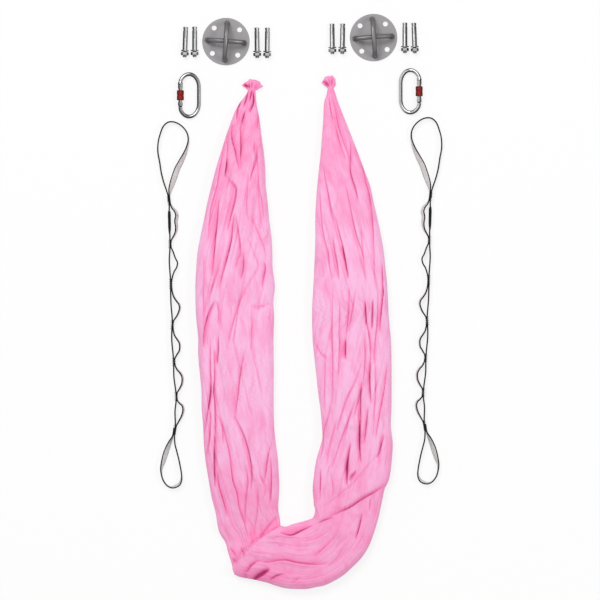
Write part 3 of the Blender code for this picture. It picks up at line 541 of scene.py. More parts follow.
FLOOR_SIZE = 40.0
FLOOR_DROP = 0.0003
FLOOR_GLOW = 0.80
WHITE = (1, 1, 1, 1)
PICTURE_MIDDLE = (300.0, 300.0)
SENSOR_WIDTH = 36.0
CAMERA_REACH = 100
KEY_PLACE = (-2.2, 4.1, 7.1)
KEY_SIZE = 3.6
FILL_PLACE = (5.2, 0.2, 6.4)
FILL_SIZE = 1.6


def aimed_lamp(name, place, size, power):
    lamp = bpy.data.lights.new(name, "AREA")
    lamp.shape = "DISK"
    lamp.size = size
    lamp.energy = power
    holder = shown(name, lamp)
    holder.location = place
    holder.rotation_euler = (-Vector(place)).to_track_quat("-Z", "Y").to_euler()


def studio_floor(chosen):
    mesh = bmesh.new()
    bmesh.ops.create_grid(mesh, x_segments=1, y_segments=1, size=FLOOR_SIZE / 2)
    bmesh.ops.translate(mesh, vec=(0, 0, -FLOOR_DROP), verts=mesh.verts)
    floor = shown("studio_floor", stored("studio_floor", mesh))
    finish = Finish("studio_floor", chosen.floor_colour, 1.0, extra={"Specular IOR Level": 0.0})
    glow = finish.node("ShaderNodeEmission", {"Color": WHITE})
    share = finish.times(finish.backdrop_rays(), FLOOR_GLOW)
    blend = finish.node("ShaderNodeMixShader", {0: share, 1: finish.shader.outputs[0], 2: glow.outputs[0]})
    finish.feed(finish.output.inputs["Surface"], blend.outputs[0])
    floor.data.materials.append(finish.material)


def studio_world(chosen):
    world = bpy.data.worlds.new("studio")
    bpy.context.scene.world = world
    world.use_nodes = True
    wiring = Wiring(world.node_tree)
    strength = wiring.node("ShaderNodeMapRange", {
        "To Min": chosen.sky_strength, "To Max": 1.0, "Value": wiring.backdrop_rays(),
    })
    back = world.node_tree.nodes["Background"]
    back.inputs["Color"].default_value = WHITE
    wiring.feed(back.inputs["Strength"], strength.outputs[0])


def studio_camera(chosen):
    lens = bpy.data.cameras.new("plan_camera")
    lens.sensor_width = SENSOR_WIDTH
    lens.lens = SENSOR_WIDTH * chosen.camera_height / chosen.picture_width
    lens.clip_end = CAMERA_REACH
    camera = shown("plan_camera", lens)
    camera.location = spot(*PICTURE_MIDDLE, chosen.camera_height)
    bpy.context.scene.camera = camera


class HAMMOCK_OT_stage(Operator):
    bl_idname = "hammock.stage"
    bl_label = "Stage"

    def execute(self, context):
        chosen = settings("stage")
        context.scene.view_settings.view_transform = "Standard"
        studio_floor(chosen)
        studio_world(chosen)
        aimed_lamp("key_lamp", KEY_PLACE, KEY_SIZE, chosen.key_strength)
        aimed_lamp("fill_lamp", FILL_PLACE, FILL_SIZE, chosen.fill_strength)
        studio_camera(chosen)
        return {"FINISHED"}


# Hammock cloth. Stations run from the left neck down its leg, and then in the band that lies over the leg's end,
# goes round the bend and up to the right neck: outer x and y, inner x and y in plan pixels, and the share of the
# bundle's height.

LEG_STATIONS = [
    (248.1, 90.3, 255.3, 90.3, 0.33), (247.4, 92.5, 255.6, 92.3, 0.36), (244.6, 96.8, 255.9, 96.6, 0.42),
    (239.7, 103.2, 256.5, 103.2, 0.52), (235.2, 111.1, 258.0, 111.5, 0.62), (232.1, 119.3, 259.6, 119.8, 0.70),
    (226.1, 135.9, 261.5, 136.3, 0.80), (220.9, 152.7, 263.8, 152.8, 0.87), (215.8, 169.2, 265.3, 169.5, 0.93),
    (211.6, 185.9, 265.8, 186.2, 0.97), (207.5, 202.5, 267.7, 202.7, 1.00), (204.2, 219.3, 269.1, 219.3, 0.98),
    (200.7, 235.8, 271.3, 235.8, 0.98), (197.7, 252.4, 272.3, 252.4, 1.00), (196.3, 269.0, 272.7, 269.0, 1.00),
    (195.5, 285.6, 274.8, 285.6, 0.98), (195.6, 302.2, 273.4, 302.2, 0.96), (196.4, 318.9, 274.1, 318.8, 0.98),
    (198.3, 337.5, 273.5, 337.5, 1.00), (198.3, 355.0, 273.6, 355.0, 0.99), (199.9, 372.6, 273.7, 372.6, 0.97),
    (201.5, 390.0, 273.6, 390.0, 0.98), (201.8, 407.8, 273.7, 407.7, 0.98), (203.2, 425.3, 274.1, 425.3, 0.96),
    (203.9, 442.8, 275.5, 441.1, 0.94), (205.6, 460.5, 277.7, 457.0, 0.91), (208.5, 478.2, 278.7, 472.0, 0.87),
    (211.4, 495.7, 279.3, 486.0, 0.82), (215.8, 513.2, 278.6, 499.0, 0.74), (219.0, 531.0, 278.3, 510.0, 0.64),
    (225.7, 542.9, 279.8, 518.5, 0.56), (228.2, 552.2, 280.4, 523.5, 0.50), (231.1, 561.5, 281.0, 527.0, 0.44),
    (233.0, 568.4, 281.8, 530.2, 0.40),
]
BAND_STATIONS = [
    (234.9, 575.0, 284.5, 527.8, 1.00), (241.2, 577.6, 287.6, 527.0, 1.00), (253.3, 579.7, 293.0, 524.9, 1.00),
    (267.3, 582.7, 299.4, 522.8, 0.98), (275.9, 585.6, 303.4, 521.6, 0.98), (285.2, 587.9, 306.6, 520.6, 0.99),
    (292.3, 588.5, 308.6, 519.8, 1.00), (306.3, 588.6, 311.4, 518.8, 0.98), (316.6, 586.6, 312.8, 517.6, 0.97),
    (326.2, 584.4, 313.8, 516.0, 0.97), (341.1, 576.4, 314.8, 512.6, 0.98), (351.0, 568.0, 315.0, 508.6, 1.00),
    (359.6, 559.5, 313.7, 504.1, 1.00), (366.2, 550.6, 313.5, 499.1, 1.00), (371.0, 540.7, 312.9, 493.7, 0.98),
    (374.6, 530.2, 312.6, 488.0, 0.97), (377.5, 520.7, 313.1, 482.0, 0.98), (379.6, 511.9, 313.8, 476.5, 0.99),
    (382.7, 496.9, 314.7, 468.0, 1.00), (384.6, 488.6, 315.7, 463.0, 1.00), (389.2, 478.1, 316.7, 458.1, 1.00),
    (391.6, 460.3, 319.5, 448.8, 1.00),
    (392.6, 442.8, 322.3, 438.2, 1.00), (390.7, 425.4, 321.7, 424.0, 1.00), (391.3, 407.7, 320.2, 407.7, 0.98),
    (391.4, 390.0, 317.7, 390.1, 1.00), (391.4, 372.6, 316.0, 372.7, 1.00), (391.3, 355.0, 314.0, 355.1, 0.98),
    (390.6, 337.5, 312.5, 337.5, 0.97), (388.8, 318.8, 312.0, 318.8, 0.97), (387.9, 302.2, 312.3, 302.2, 1.00),
    (387.1, 285.6, 313.4, 285.6, 1.00), (385.4, 269.0, 314.1, 269.0, 1.00), (383.7, 252.4, 314.9, 252.4, 1.00),
    (380.9, 235.9, 315.3, 235.8, 0.98), (377.5, 219.3, 315.2, 219.3, 0.96), (373.6, 202.7, 316.0, 202.6, 0.94),
    (370.0, 186.1, 317.2, 185.9, 0.90), (363.7, 169.0, 318.9, 169.3, 0.86), (357.7, 152.5, 320.7, 152.8, 0.79),
    (351.2, 135.8, 321.9, 136.2, 0.70), (344.7, 119.3, 323.2, 119.7, 0.61), (338.4, 103.2, 324.0, 103.1, 0.50),
    (336.0, 95.5, 326.3, 95.5, 0.42), (333.6, 88.4, 327.8, 88.4, 0.34),
]
# The rim of each fanned end, from its outer side round to its inner side.
LEFT_FAN = [
    (247.9, 89.0), (244.5, 87.2), (241.5, 85.4), (244.2, 83.2), (247.6, 81.6), (248.6, 79.9), (250.6, 79.1),
    (252.8, 79.9), (255.2, 79.8), (257.6, 80.9), (259.4, 81.4), (260.6, 83.9), (263.3, 86.4), (260.6, 88.0),
    (257.2, 90.1), (255.6, 90.0),
]
RIGHT_FAN = [
    (334.2, 87.0), (335.8, 84.3), (335.5, 81.4), (334.9, 78.4), (333.4, 76.6), (332.2, 75.4), (330.6, 76.6),
    (329.0, 76.2), (327.3, 76.2), (325.4, 77.0), (324.2, 78.6), (323.4, 80.6), (321.3, 83.0), (323.2, 84.8),
    (325.6, 86.6), (327.4, 87.6),
]
# Creases in the gathered cloth, one on each line: depth in millimetres, width of the dark line, width of
# the soft slope beside it (positive on the left hand of someone who walks along it), and its points in
# plan pixels.
CREASES = """
9 0.9 1.2: 248,90.6 246.9,96 245.6,101.5 243.4,107
8 0.8 -0.8: 252,90 251,96 249.6,102.5
12 0.9 -1.2: 253,90.5 254,98.3 253.4,104.4 251,109.6 249,113
10 1.0 0.8: 241,99.5 240,102.8 238.6,107.6
8 1.0 1.8: 238.6,106 237.4,111 236.9,117.5 237.2,121
10 0.9 -1.4: 245.4,111.5 243.8,117.4 241.6,125
11 0.9 2.6: 232.5,124 231.7,129 231.6,136 232.8,143 235.2,152 237.2,161 239.6,171
5 0.8 1.4: 241,124 240.7,140 240.9,150 240.3,160
7 0.9 -1.6: 258.4,113 258.2,121 257.2,131
5 0.8 -1.2: 256.9,146 257,158 255,166 251.8,174 250.6,182
5 0.8 1: 254.6,142 254.2,149 253.4,154
6 0.7 1.4: 227.8,130 227.2,140 227.4,149 226.4,165 225.1,177
9 0.8 1.8: 227.2,160 226.2,168 225.1,178
6 0.9 2: 224.2,143 222.1,157 218.8,175.7 216.8,188 211.8,205 209.6,222 208,240
10 0.8 -1.8: 219.8,197 218.6,208 217.9,218.6 216.1,237.3 214.1,258.7 212.1,276
9 0.8 -3.4: 226.2,175.7 230.2,181 233.4,184.2 236.6,189.1 236.2,197.1 234.2,206.5 231.5,216 227.5,232
10 0.8 -1.8: 235.5,213 233.5,222.6 232.2,237.3 229.5,250.7 226.2,262.8 222.1,277.5 219.5,292
7 0.7 -2: 235.8,214 237.5,223.9 239.6,237.3 240.9,252 238.2,260 235.3,269
10 0.8 -1.8: 243.5,253 244.2,264.1 242.9,273.5 240.6,280
8 1.1 -2: 264.3,261 265.7,269.5 263.7,277.5 262.1,289
5 0.8 -2.4: 248.9,175 247.6,191.8 246.9,210.5 249.4,222
4 0.7 1.5: 239.5,119 240.9,146 240.4,172
4 0.7 1.5: 254.3,145 255.6,157 252.9,170 248.9,185
4 0.7 -1.5: 257,152 257.8,165 259,184 259.8,210 265,235 269,238
3 1.6 2.5: 247.6,238 252.9,251.5 258.3,266 252.5,277 245.6,289 241.6,299
5 0.8 1.8: 249.5,216 254.3,224 259.6,237.3 265,250.7 265.7,263
5 0.7 1.4: 203.6,255 204,277.5 203.4,301 204.4,318
5 0.7 -1.5: 222.1,256 218.1,270.8 210.1,294.9 206.5,312
10 0.8 1.8: 215.8,300 210.1,310 206.1,322 204.1,333 203.3,349
6 0.7 1.5: 216.8,301 218.8,312.8 218.1,325
10 0.8 -1.6: 218.8,336 218.9,349 217.4,364
8 0.8 -1.5: 210.8,337 210.8,365 211.4,381 210.4,397 208.8,407.9 206.1,424 203.9,438
9 0.9 1.4: 211.5,384 210.4,397 208.6,409
10 0.8 1.4: 214.1,349 214.8,373 213.8,391.8 214.8,401 215.4,424 214.8,444
13 1.0 1.5: 214.9,436 214.4,456 214.6,472 215,488
8 0.7 -1.4: 210.8,409 210.8,424 210.1,437 207.3,456
8 0.8 -2: 244.9,350 242.2,365 239.6,382.4 238.9,391.8 236.9,405 234.7,420
5 1.2 -3.5: 247.4,288 240.2,302 235.5,315.4 230.2,335.5 227.2,351
4 1.0 1.6: 250.6,305.4 258.3,307.6 271,303
4 0.8 1.5: 251.5,305 252,330 251,352
10 0.8 -2: 234.5,416 239.6,425 244.9,437 248.9,450.7 251.6,464 252.3,477.5 250.2,493
7 0.8 -1.5: 245.4,465 248.3,480 246.9,492 245.6,508 245.4,523
9 0.8 1.6: 221.8,423 226.2,438.6 230.2,457.4 232.8,480 236.7,491 239.5,508 245,524.6 248.6,543
10 0.8 1.6: 217.3,470 218.8,484.2 222.1,496 225,507 227.6,518
9 0.8 -1.8: 270.8,445 267.7,458.7 266.3,470.8 264.1,483
9 0.8 -1.6: 271,456 271.7,474.8 271.3,491 269.4,507
5 0.9 1.5: 217,414 222,425 223,440 222,446
4 0.8 1.5: 257.7,473 263,481 266,489 262,500
6 0.9 1.8: 277.3,515.6 269.6,524.6 263,532.5 259.4,540
5 0.8 -1.6: 256.5,478 258.5,500 256,522 253,541
8 0.9 1: 229.8,547.5 233.3,552 236.6,557
8 0.9 1: 240.2,547.5 243,552 245.3,557
4 2.4 2.6: 247.4,577 245.6,573 247,569
7 0.9 1: 231.2,557 234,560 238.6,562
5 0.8 -1.5: 258,183 262,200 264.5,222
9 0.8 0: 328.7,96 330.1,107.4 331.5,115.4 334.1,125
5 0.8 -2: 334.1,124 338.8,139.5 341.5,148.9 346.4,163
6 0.8 1.6: 331.5,96 335.5,111.4 338.8,128.8 344.2,144.9 348.2,157 349.8,170.3
9 0.8 -1.6: 349.4,166 351.5,177 356.2,191.7 357.8,201
7 0.7 1.2: 350.9,141 350.2,159.6 350.6,176
8 0.8 -1.6: 353.5,144 357.4,153 361.6,162.3 365.6,181 369.6,195.8 371.8,208
8 0.8 -2.2: 368.4,191 371.6,210.5 373,230.5 373.6,252
5 0.8 -2.2: 322.8,163 325.4,181 329.5,199.8 332.1,215.8 336.8,222
7 0.8 -2: 335.8,219 338.8,231.9 342.8,246.6 345.5,261.4
13 0.9 -1.3: 342.5,246 345.5,261.4 348.3,279
5 1.0 -2.6: 320,190 320.7,207.8 322.8,231.9 326.8,248 331,266
8 0.8 -3: 333.3,237 334.1,248 336.8,261.4 338.9,280
6 0.8 -1.6: 344.2,179 349.5,203.8 353.5,223.9 357.6,240 361.6,250.6 364.3,268 365.8,280
5 0.7 1.2: 360.9,227 362.2,250.6 365.2,266
5 0.7 -1.4: 374.3,246 374.3,270.7 377,293
9 0.9 -1.2: 382,262 382.7,282 383.4,297
4 0.8 -1.5: 328.1,246 328.8,262 333.5,286
6 0.8 -1.8: 332.9,286 332.1,314 332.1,338.5 332.7,357.9 332.7,374.8 332,401
6 0.7 1.5: 338.8,297 339.4,319 338.8,331 339.4,343.3 338.5,362.7 338,382
13 0.9 -3: 345.5,339 345.5,350 345.3,359
6 0.7 -1.4: 349.1,288 348.5,314 345.5,340
5 0.9 -2.4: 355.8,288 352.1,311.8 348.2,332
13 1.0 -1.2: 365,300 365.5,308 366.2,325
9 0.8 1.8: 366,321 369.1,338.5 370.4,359
13 1.0 -0.9: 372.8,299 372.4,314 371.7,329
7 0.7 1.2: 377.6,288 377,319 374.5,344.5 373.9,364
12 0.8 -1.4: 383.8,287 382,304 380.6,318 379.2,333
7 0.7 1.4: 364.2,334 364.8,357.9 363.6,374.8 361.8,388
6 0.7 -1.4: 361.8,387 357,405 353.2,419
12 0.9 -1.4: 370.3,356 369.7,379.7 370.2,392 370.6,403
11 0.9 -1.6: 361.8,380 360.6,399 360.6,422
8 0.7 -1.4: 387.5,360 384.8,384.5 382.4,399 378.8,417.3 375,441
6 0.7 1.2: 374.5,356 375.2,387 373.9,411.2 372.6,437
10 0.8 -1.6: 368.1,406 366.1,427 363.4,445
7 0.8 1.4: 358.2,409 359.4,435.5 359.4,450
12 0.8 -2: 360.5,419 359.8,432 359.6,446 361,463
9 0.9 -1.4: 384,434 380,448.8 376.6,458
13 1.3 -2: 350.8,442 348.7,453 347.3,465 347,476 346.9,486
6 2.2 1.6: 356.4,470.6 351.6,475.4 349.4,481
5 0.7 1.4: 361.8,362 353.3,384.5 346.1,399 340,418.5 336.2,431
6 0.7 1.4: 355.8,397 348.5,418.5 340,441.5 331.2,469
6 0.7 -1.6: 332.7,397 327.9,418.5 324.2,429.4 323,447.6 319.2,461
4 0.9 -1.5: 315.2,342 321.8,354.2 327.5,357
5 0.7 -1.5: 326.1,354 324.8,374.8 324.8,413
5 0.7 1.5: 336.4,420 330.3,441.5 325.3,466
9 0.7 -1: 320.8,468 320.6,482 320,498
5 0.8 1.4: 330,472 333,488 331,500
13 1.4 4: 279.6,531.6 290.8,534.6 300.9,530.4 312.6,524.8
10 0.8 1: 317,523 324,519.8 333,516.8
13 0.8 1.5: 328,516 336,512.9 349.7,506.8 357.5,501.6 365,496.8 374.6,491.4 387.5,483.4
2.6 1.0 3.4: 392.4,440 372,460 350,485 318,510.5
13 0.8 -1.2: 361.8,513 359.4,526 355.4,539
6 0.8 1.2: 370,497 369,511
10 1.2 2.6: 258.5,561 267.6,561.8 276.5,559.9 286.7,559.4 297,561.8 314.8,563.8 328,563
9 1.0 1.6: 247.6,572 249.2,567.4 252.4,564 256,561.4 260,559.8
16 3.0 2.6: 252.6,580 257.6,576.6 262.5,573.4 270,568
7 1.0 -1.6: 269,579.6 276,575 284,572.4
4 1.0 1.6: 291,583.2 301.4,575.6
5 1.0 -2: 335.5,535.8 322,549 313,558
3 1.2 3: 343,546 338,556 327,566
4 1.2 3: 300,541 316,538 331,529
2.4 1.2 -3: 352,552 362,537 367,521
4 0.9 1.8: 372,526 376,512 378.5,497
5 0.8 0.8: 248.6,83.6 249.1,86.4 249.4,89.4
9 3.0 0.8: 243,85 246.2,86 248.6,88.2
4 0.7 0.6: 252.2,81.6 251.9,85 251.6,89
4 0.7 0.6: 257.4,82.6 255.6,86 253.9,89.2
3 0.7 0.6: 260.5,85.8 257.6,87.2 254.6,89.6
5 0.8 0.6: 325.2,79.6 327,83 328.7,87
4 0.7 0.6: 328.6,77.6 329.3,82 330,87
5 0.8 0.6: 332.3,77.2 331.9,82 331.5,87
7 1.8 0.8: 322.4,80.6 325,83.2 328.4,87.2
"""
# Columns of points over the skin, under it and in each hidden layer, and the rows in each part of its length.
TOP_COLUMNS = 150
UNDER_COLUMNS = 4
INNER_LAYERS = 6
INNER_COLUMNS = 4
INNER_SPAN = (0.06, 0.94)
INNER_HEIGHT = 0.9
LEG_ROWS = 208
BAND_ROWS = 306
FAN_ROWS = 18
LIP_ROWS = 8
STATION_STEPS = 24
# Below the bowl's row the rows lie closer together, by the crowding.
BOWL_ROW = 440.0
BOWL_BLEND = 25.0
BOWL_CROWDING = 1.8
# The bundle's section: a squared oval that turns in under itself, and the size by which its points are spaced.
SQUARENESS = 2.7
SIDE_SHARE = 0.40
TUCK = 0.42
TUCK_STEEPNESS = 1.35
SECTION_SAMPLES = 1200
SECTION_SIZE = (90.0, 44.0)
FLOOR_GAP = 0.0006
# The band's turned edge over the leg: how far its outer and inner ends hang back in x and y, its bow in the
# middle, and how many rows the bow takes to fade before and after it.
LIP_HANG = (1.0, 1.6, 1.2, 2.2)
LIP_STEEPNESS = 1.15
LIP_BOW = (2.2, 6.4)
LIP_FADES = (9.0, 22.0)
# The fanned ends: how many pleats, how far they sway in pixels and rise in metres, the ends' height at the neck,
# their swell and their fall to the rim as shares of the bundle's height, and the rim's least height.
FAN_PLEATS = 7.5
PLEAT_SHIFT = 0.35
PLEAT_HEIGHT = 0.0013
FAN_HEIGHTS = (0.34, 0.10, 0.16)
FAN_EDGE = 0.003
# A crease's section: a cut that holds part of its depth and a soft slope that holds the rest, on one side.
CREASE_REACH = 14.0
CREASE_EASE = 0.055
LINE_SHARE = 0.60
LEAST_LINE = 0.75
SLOPE_SHARE = 1.7
FAR_SLOPE = 0.6
CUT_SHARE = 0.45
# The bank beside the cut: its share of the depth, and its place and width in widths of the line.
CREASE_BANK = (0.20, 1.9, 1.3)
# How dark the shade painted into a crease is: the depth that is fully dark, the tones of its cut and slope, and the
# gain at the necks.
DEEP_CREASE = 0.0105
CUT_TONE = 0.62
SLOPE_TONE = 0.40
DARKEST = 0.9
NECK_TINT = 1.2
NECK_END = 128.0
# The necks lie in shade round this row.
NECK_ROW = 84.0
NECK_REACH = 34.0
NECK_TONE = 0.10
# Places that lie in shade: middle and half widths in plan pixels, and how dark.
SHADED_PLACES = (
    (262.0, 575.0, 30.0, 10.0, 0.26), (214.0, 225.0, 16.0, 70.0, 0.07), (212.0, 440.0, 10.0, 60.0, 0.06),
    (347.6, 467.0, 2.4, 7.0, 0.40), (358.2, 437.0, 1.8, 9.0, 0.22), (352.6, 475.0, 4.0, 4.5, 0.16),
)
# Long low folds: how many waves lie across, their height, how fast they wander, and where they start.
SOFT_RIDGES = (
    (1.5, 0.0016, 1.7, 0.3), (2.5, 0.0014, 2.3, 1.9), (4.0, 0.0012, 3.1, 4.2), (6.5, 0.0009, 4.4, 0.8),
    (9.0, 0.0006, 6.1, 2.6), (13.0, 0.0003, 8.3, 5.1),
)
RIDGE_WANDER = 3.4
# How they swell: the least share of their height, how much more at most, and how fast. They are calmer in the band.
RIDGE_SWELL = (0.6, 0.8, 1.3)
BAND_CALM = 0.70
# Narrow folds: how many lie across, depth, painted shade, sharpness and a seed.
FINE_FOLDS = (
    (6, 0.0030, 0.20, 7, 3.1), (10, 0.0024, 0.17, 6, 8.3), (15, 0.0016, 0.13, 4, 5.9), (22, 0.0010, 0.09, 3, 1.4),
)
# How far the narrow folds have drifted across the bundle at places along it, in metres.
FOLD_DRIFT = (
    (0.0, 0.0), (0.20, 0.0), (0.63, -0.34), (1.10, 0.06), (1.20, 0.10), (1.62, 0.10), (1.95, -0.36),
    (2.35, 0.0), (2.7, 0.0),
)
# How often along the bundle a narrow fold starts, how unlike its neighbours are, how it wanders, and from which
# noise on it shows and is full.
FOLD_RUN = 6.5
FOLD_STEP = 1.7
FOLD_WANDER = (2.1, 0.09)
FOLD_ONSET = 0.12
FOLD_RISE = 0.42
# From its full width on the bundle has folds of full depth, which is at most the deepest share of its height.
# They fade towards its foot.
FULL_WIDTH = 60.0
LEAST_FOLD = 0.15
DEEPEST_FOLD = 0.3
DEEPEST_CREASE = 0.62
RIDGE_FADE = 1.5
FOLD_FADE = 1.2
# In the bend the narrow folds are shallower and their painted shade paler by these shares, from a row on and over
# some rows.
BEND_ROW = 460.0
BEND_BLEND = 50.0
BEND_CALM = 0.4
BEND_PALE = 0.1
# The rows round which the jersey is palest.
PALE_ROW = 330.0
PALE_REACH = 150.0


def smooth_rows(stations, count, crowding=1.0):
    """Even rows along a smooth curve through the stations, closer together in the bowl by the crowding."""
    table = np.array(stations, float)
    padded_table = np.vstack([2 * table[0] - table[1], table, 2 * table[-1] - table[-2]])
    fine = [
        between(*padded_table[index:index + 4], share)
        for index in range(len(table) - 1) for share in np.arange(STATION_STEPS) / STATION_STEPS
    ]
    fine = np.array(fine + [table[-1]])
    steps = np.diff(fine[:, :4], axis=0)
    runs = np.hypot(steps[:, 0], steps[:, 1]) + np.hypot(steps[:, 2], steps[:, 3])
    middle_y = (fine[1:, 1] + fine[1:, 3]) / 2
    crowd = 1 + (crowding - 1) * np.clip((middle_y - BOWL_ROW) / BOWL_BLEND + 0.5, 0, 1)
    reach = np.concatenate([[0], np.cumsum(runs * crowd)])
    even = np.linspace(0, reach[-1], count)
    return np.column_stack([np.interp(even, reach, column) for column in fine.T])


def dome_profile():
    """Across and rise of the skin's section from its outer foot over its top to its inner foot, evenly spaced."""
    turns = np.linspace(-TUCK, pi + TUCK, SECTION_SAMPLES)
    across = -np.sign(np.cos(turns)) * np.abs(np.cos(turns)) ** (2 / SQUARENESS)
    rise = np.sign(np.sin(turns)) * np.abs(np.sin(turns)) ** (2 / SQUARENESS)
    tucked = SIDE_SHARE * (1 + rise * TUCK_STEEPNESS)
    height = np.clip(np.where(rise > 0, SIDE_SHARE + (1 - SIDE_SHARE) * rise, tucked), 0, 1)
    wide, high = SECTION_SIZE
    run = np.concatenate([[0], np.cumsum(np.hypot(np.diff(across) * wide, np.diff(height) * high))])
    even = np.linspace(0, run[-1], TOP_COLUMNS)
    return np.interp(even, run, across), np.interp(even, run, height)


def read_creases():
    for line in CREASES.strip().splitlines():
        sizes, places = line.split(":")
        depth, width, slope = (float(value) for value in sizes.split())
        points = [Vector((*(float(value) for value in place.split(",")), 0)) for place in places.split()]
        yield np.array(smooth_points(points, 3))[:, :2], depth / 1000, width, slope


def nearest_on(line, x, y):
    """Signed distance of places to a crease, how far along it they lie from zero to one, and its way there."""
    lengths = np.hypot(*np.diff(line, axis=0).T)
    gap, side, along = np.full(x.shape, 1e9), np.zeros_like(x), np.zeros_like(x)
    way_x, way_y = np.zeros_like(x), np.ones_like(x)
    run = 0.0
    for start, end, length in zip(line, line[1:], lengths):
        way = (end - start) / length
        place = np.clip((x - start[0]) * way[0] + (y - start[1]) * way[1], 0, length)
        gap_x = x - start[0] - place * way[0]
        gap_y = y - start[1] - place * way[1]
        reach = np.hypot(gap_x, gap_y)
        closer = reach < gap
        gap = np.where(closer, reach, gap)
        side = np.where(closer, np.sign(way[1] * gap_x - way[0] * gap_y), side)
        along = np.where(closer, run + place, along)
        way_x, way_y = np.where(closer, way[0], way_x), np.where(closer, way[1], way_y)
        run += length
    return gap * side, along / run, way_x, way_y


def crease_sink(x, y):
    """How deep the creases cut at plan places, and how much shade is painted on the cloth inside them."""
    sink, painted_shade = np.zeros_like(x), np.zeros_like(x)
    step_x, step_y = np.gradient(x, axis=0), np.gradient(y, axis=0)
    bank_share, bank_place, bank_width = CREASE_BANK
    for line, depth, width, slope in read_creases():
        low, high = line.min(axis=0) - CREASE_REACH, line.max(axis=0) + CREASE_REACH
        near = (x > low[0]) & (x < high[0]) & (y > low[1]) & (y < high[1])
        gap, along, way_x, way_y = nearest_on(line, x[near], y[near])
        depth *= 1 - depth / CREASE_EASE
        taper = np.sin(pi * np.clip(along, 0, 1)) ** 0.5
        spacing = np.abs(step_x[near] * way_y - step_y[near] * way_x)
        width = np.maximum(width * LINE_SHARE, LEAST_LINE * spacing)
        cut = np.exp(-((np.abs(gap) / width) ** 1.5))
        soft, bank = np.zeros_like(gap), 0.0
        if slope:
            toward = gap * np.sign(slope)
            reach = np.where(toward > 0, SLOPE_SHARE * slope, FAR_SLOPE * width)
            soft = np.exp(-((gap / reach) ** 2))
            bank = bank_share * np.exp(-(((toward + bank_place * width) / (bank_width * width)) ** 2))
        sink[near] += depth * taper * (CUT_SHARE * cut + (1 - CUT_SHARE) * soft - bank)
        tint = np.where(y[near] < NECK_END, NECK_TINT, 1.0) * depth / DEEP_CREASE
        painted_shade[near] += taper * tint * (CUT_TONE * cut + SLOPE_TONE * soft)
    return sink, np.minimum(painted_shade, DARKEST)


def noise_along(travel, place):
    """Smooth noise along the bundle, where place turns the way along it into a place in the noise."""
    return np.array([noise.noise(Vector(place(way))) for way in travel[:, 0]])[:, None]


def soft_ridges(share, travel):
    """Long low folds that wander along the bundle."""
    ridges = np.zeros_like(share)
    least, more, haste = RIDGE_SWELL
    for waves, height, pace, start in SOFT_RIDGES:
        wander = RIDGE_WANDER * noise_along(travel, lambda way: (way * pace, start, waves))
        swell = least + more * np.abs(noise_along(travel, lambda way: (way * pace * haste, waves, start)))
        ridges += height * swell * np.sin(pi * waves * share + start + wander)
    return ridges


def fine_folds(share, travel):
    """Narrow valleys that drift along the bundle, each with starts and ends of its own."""
    sink, painted_shade = np.zeros_like(share), np.zeros_like(share)
    drift = np.interp(travel[:, 0], *zip(*FOLD_DRIFT))[:, None]
    pace, sway = FOLD_WANDER
    strength_at = np.vectorize(
        lambda way, fold, seed: noise.noise(Vector((way * FOLD_RUN, fold * FOLD_STEP, seed)))
    )
    for count, depth, tint, sharpness, seed in FINE_FOLDS:
        wander = sway * noise_along(travel, lambda way: (way * pace, seed, count))
        place = count * ((share + 1) / 2 - drift + wander) + seed
        strength = strength_at(travel + 0 * share, np.round(place), seed)
        strength = np.clip((strength + FOLD_ONSET) / FOLD_RISE, 0, 1)
        strength = strength * strength * (3 - 2 * strength)
        valley = strength * (1 - np.abs(np.sin(pi * place))) ** sharpness
        sink += depth * valley
        # Shade is painted along each valley.
        painted_shade += tint * valley
    return sink, painted_shade


def skin_rows(rows, height):
    """Plan places and heights of the skin's rows."""
    across, rise = dome_profile()
    share = (across[None, :] + 1) / 2
    x = rows[:, 0:1] * (1 - share) + rows[:, 2:3] * share
    y = rows[:, 1:2] * (1 - share) + rows[:, 3:4] * share
    z = rows[:, 4:5] * height * rise[None, :]
    return x, y, z


def lip_rows(leg, band):
    """The turned edge of the band, which hangs a little over the leg below it."""
    rows = []
    for share in np.arange(1, LIP_ROWS + 1) / (LIP_ROWS + 1):
        row = leg * (1 - share) + band * share
        row[:4] -= np.array(LIP_HANG) * sin(pi * share)
        row[4] = leg[4] + (band[4] - leg[4]) * sin(pi / 2 * min(share * LIP_STEEPNESS, 1))
        rows.append(row)
    return np.array(rows)


def bulge_lip(x, y):
    """Pushes the band's edge back over the leg in the middle, as its real edge runs in a bow."""
    bow = np.sin(pi * np.linspace(0, 1, x.shape[1])) ** 1.2
    row = np.arange(len(x))[:, None]
    before, after = LEG_ROWS - 3 - row, row - (LEG_ROWS + LIP_ROWS + 1)
    away = np.maximum(before / LIP_FADES[0], 0) + np.maximum(after / LIP_FADES[1], 0)
    fade = np.exp(-(away ** 2))
    x -= LIP_BOW[0] * bow * fade
    y -= LIP_BOW[1] * bow * fade


def fan_rows(neck_x, neck_y, neck_z, rim, height):
    """The cloth's end, fanned out from its neck to a ruffled rim."""
    columns = np.linspace(0, 1, len(neck_x))
    rim_x, rim_y = (np.interp(columns, np.linspace(0, 1, len(rim)), part) for part in zip(*rim))
    turns = columns * 2 * pi * FAN_PLEATS
    dome = np.sin(pi * columns) ** 0.5
    start, swell, fall = FAN_HEIGHTS
    rows = []
    for share in np.arange(1, FAN_ROWS + 1) / FAN_ROWS:
        spread = share ** 0.85
        x = neck_x * (1 - spread) + rim_x * spread + PLEAT_SHIFT * share * np.sin(turns)
        y = neck_y * (1 - spread) + rim_y * spread
        top = height * (start + swell * sin(pi * share) - fall * share) * dome + FAN_EDGE
        z = neck_z * (1 - share) + top * share + PLEAT_HEIGHT * share * np.cos(turns + 0.6) * dome
        rows.append((x, y, z))
    return [np.array(part) for part in zip(*rows)]


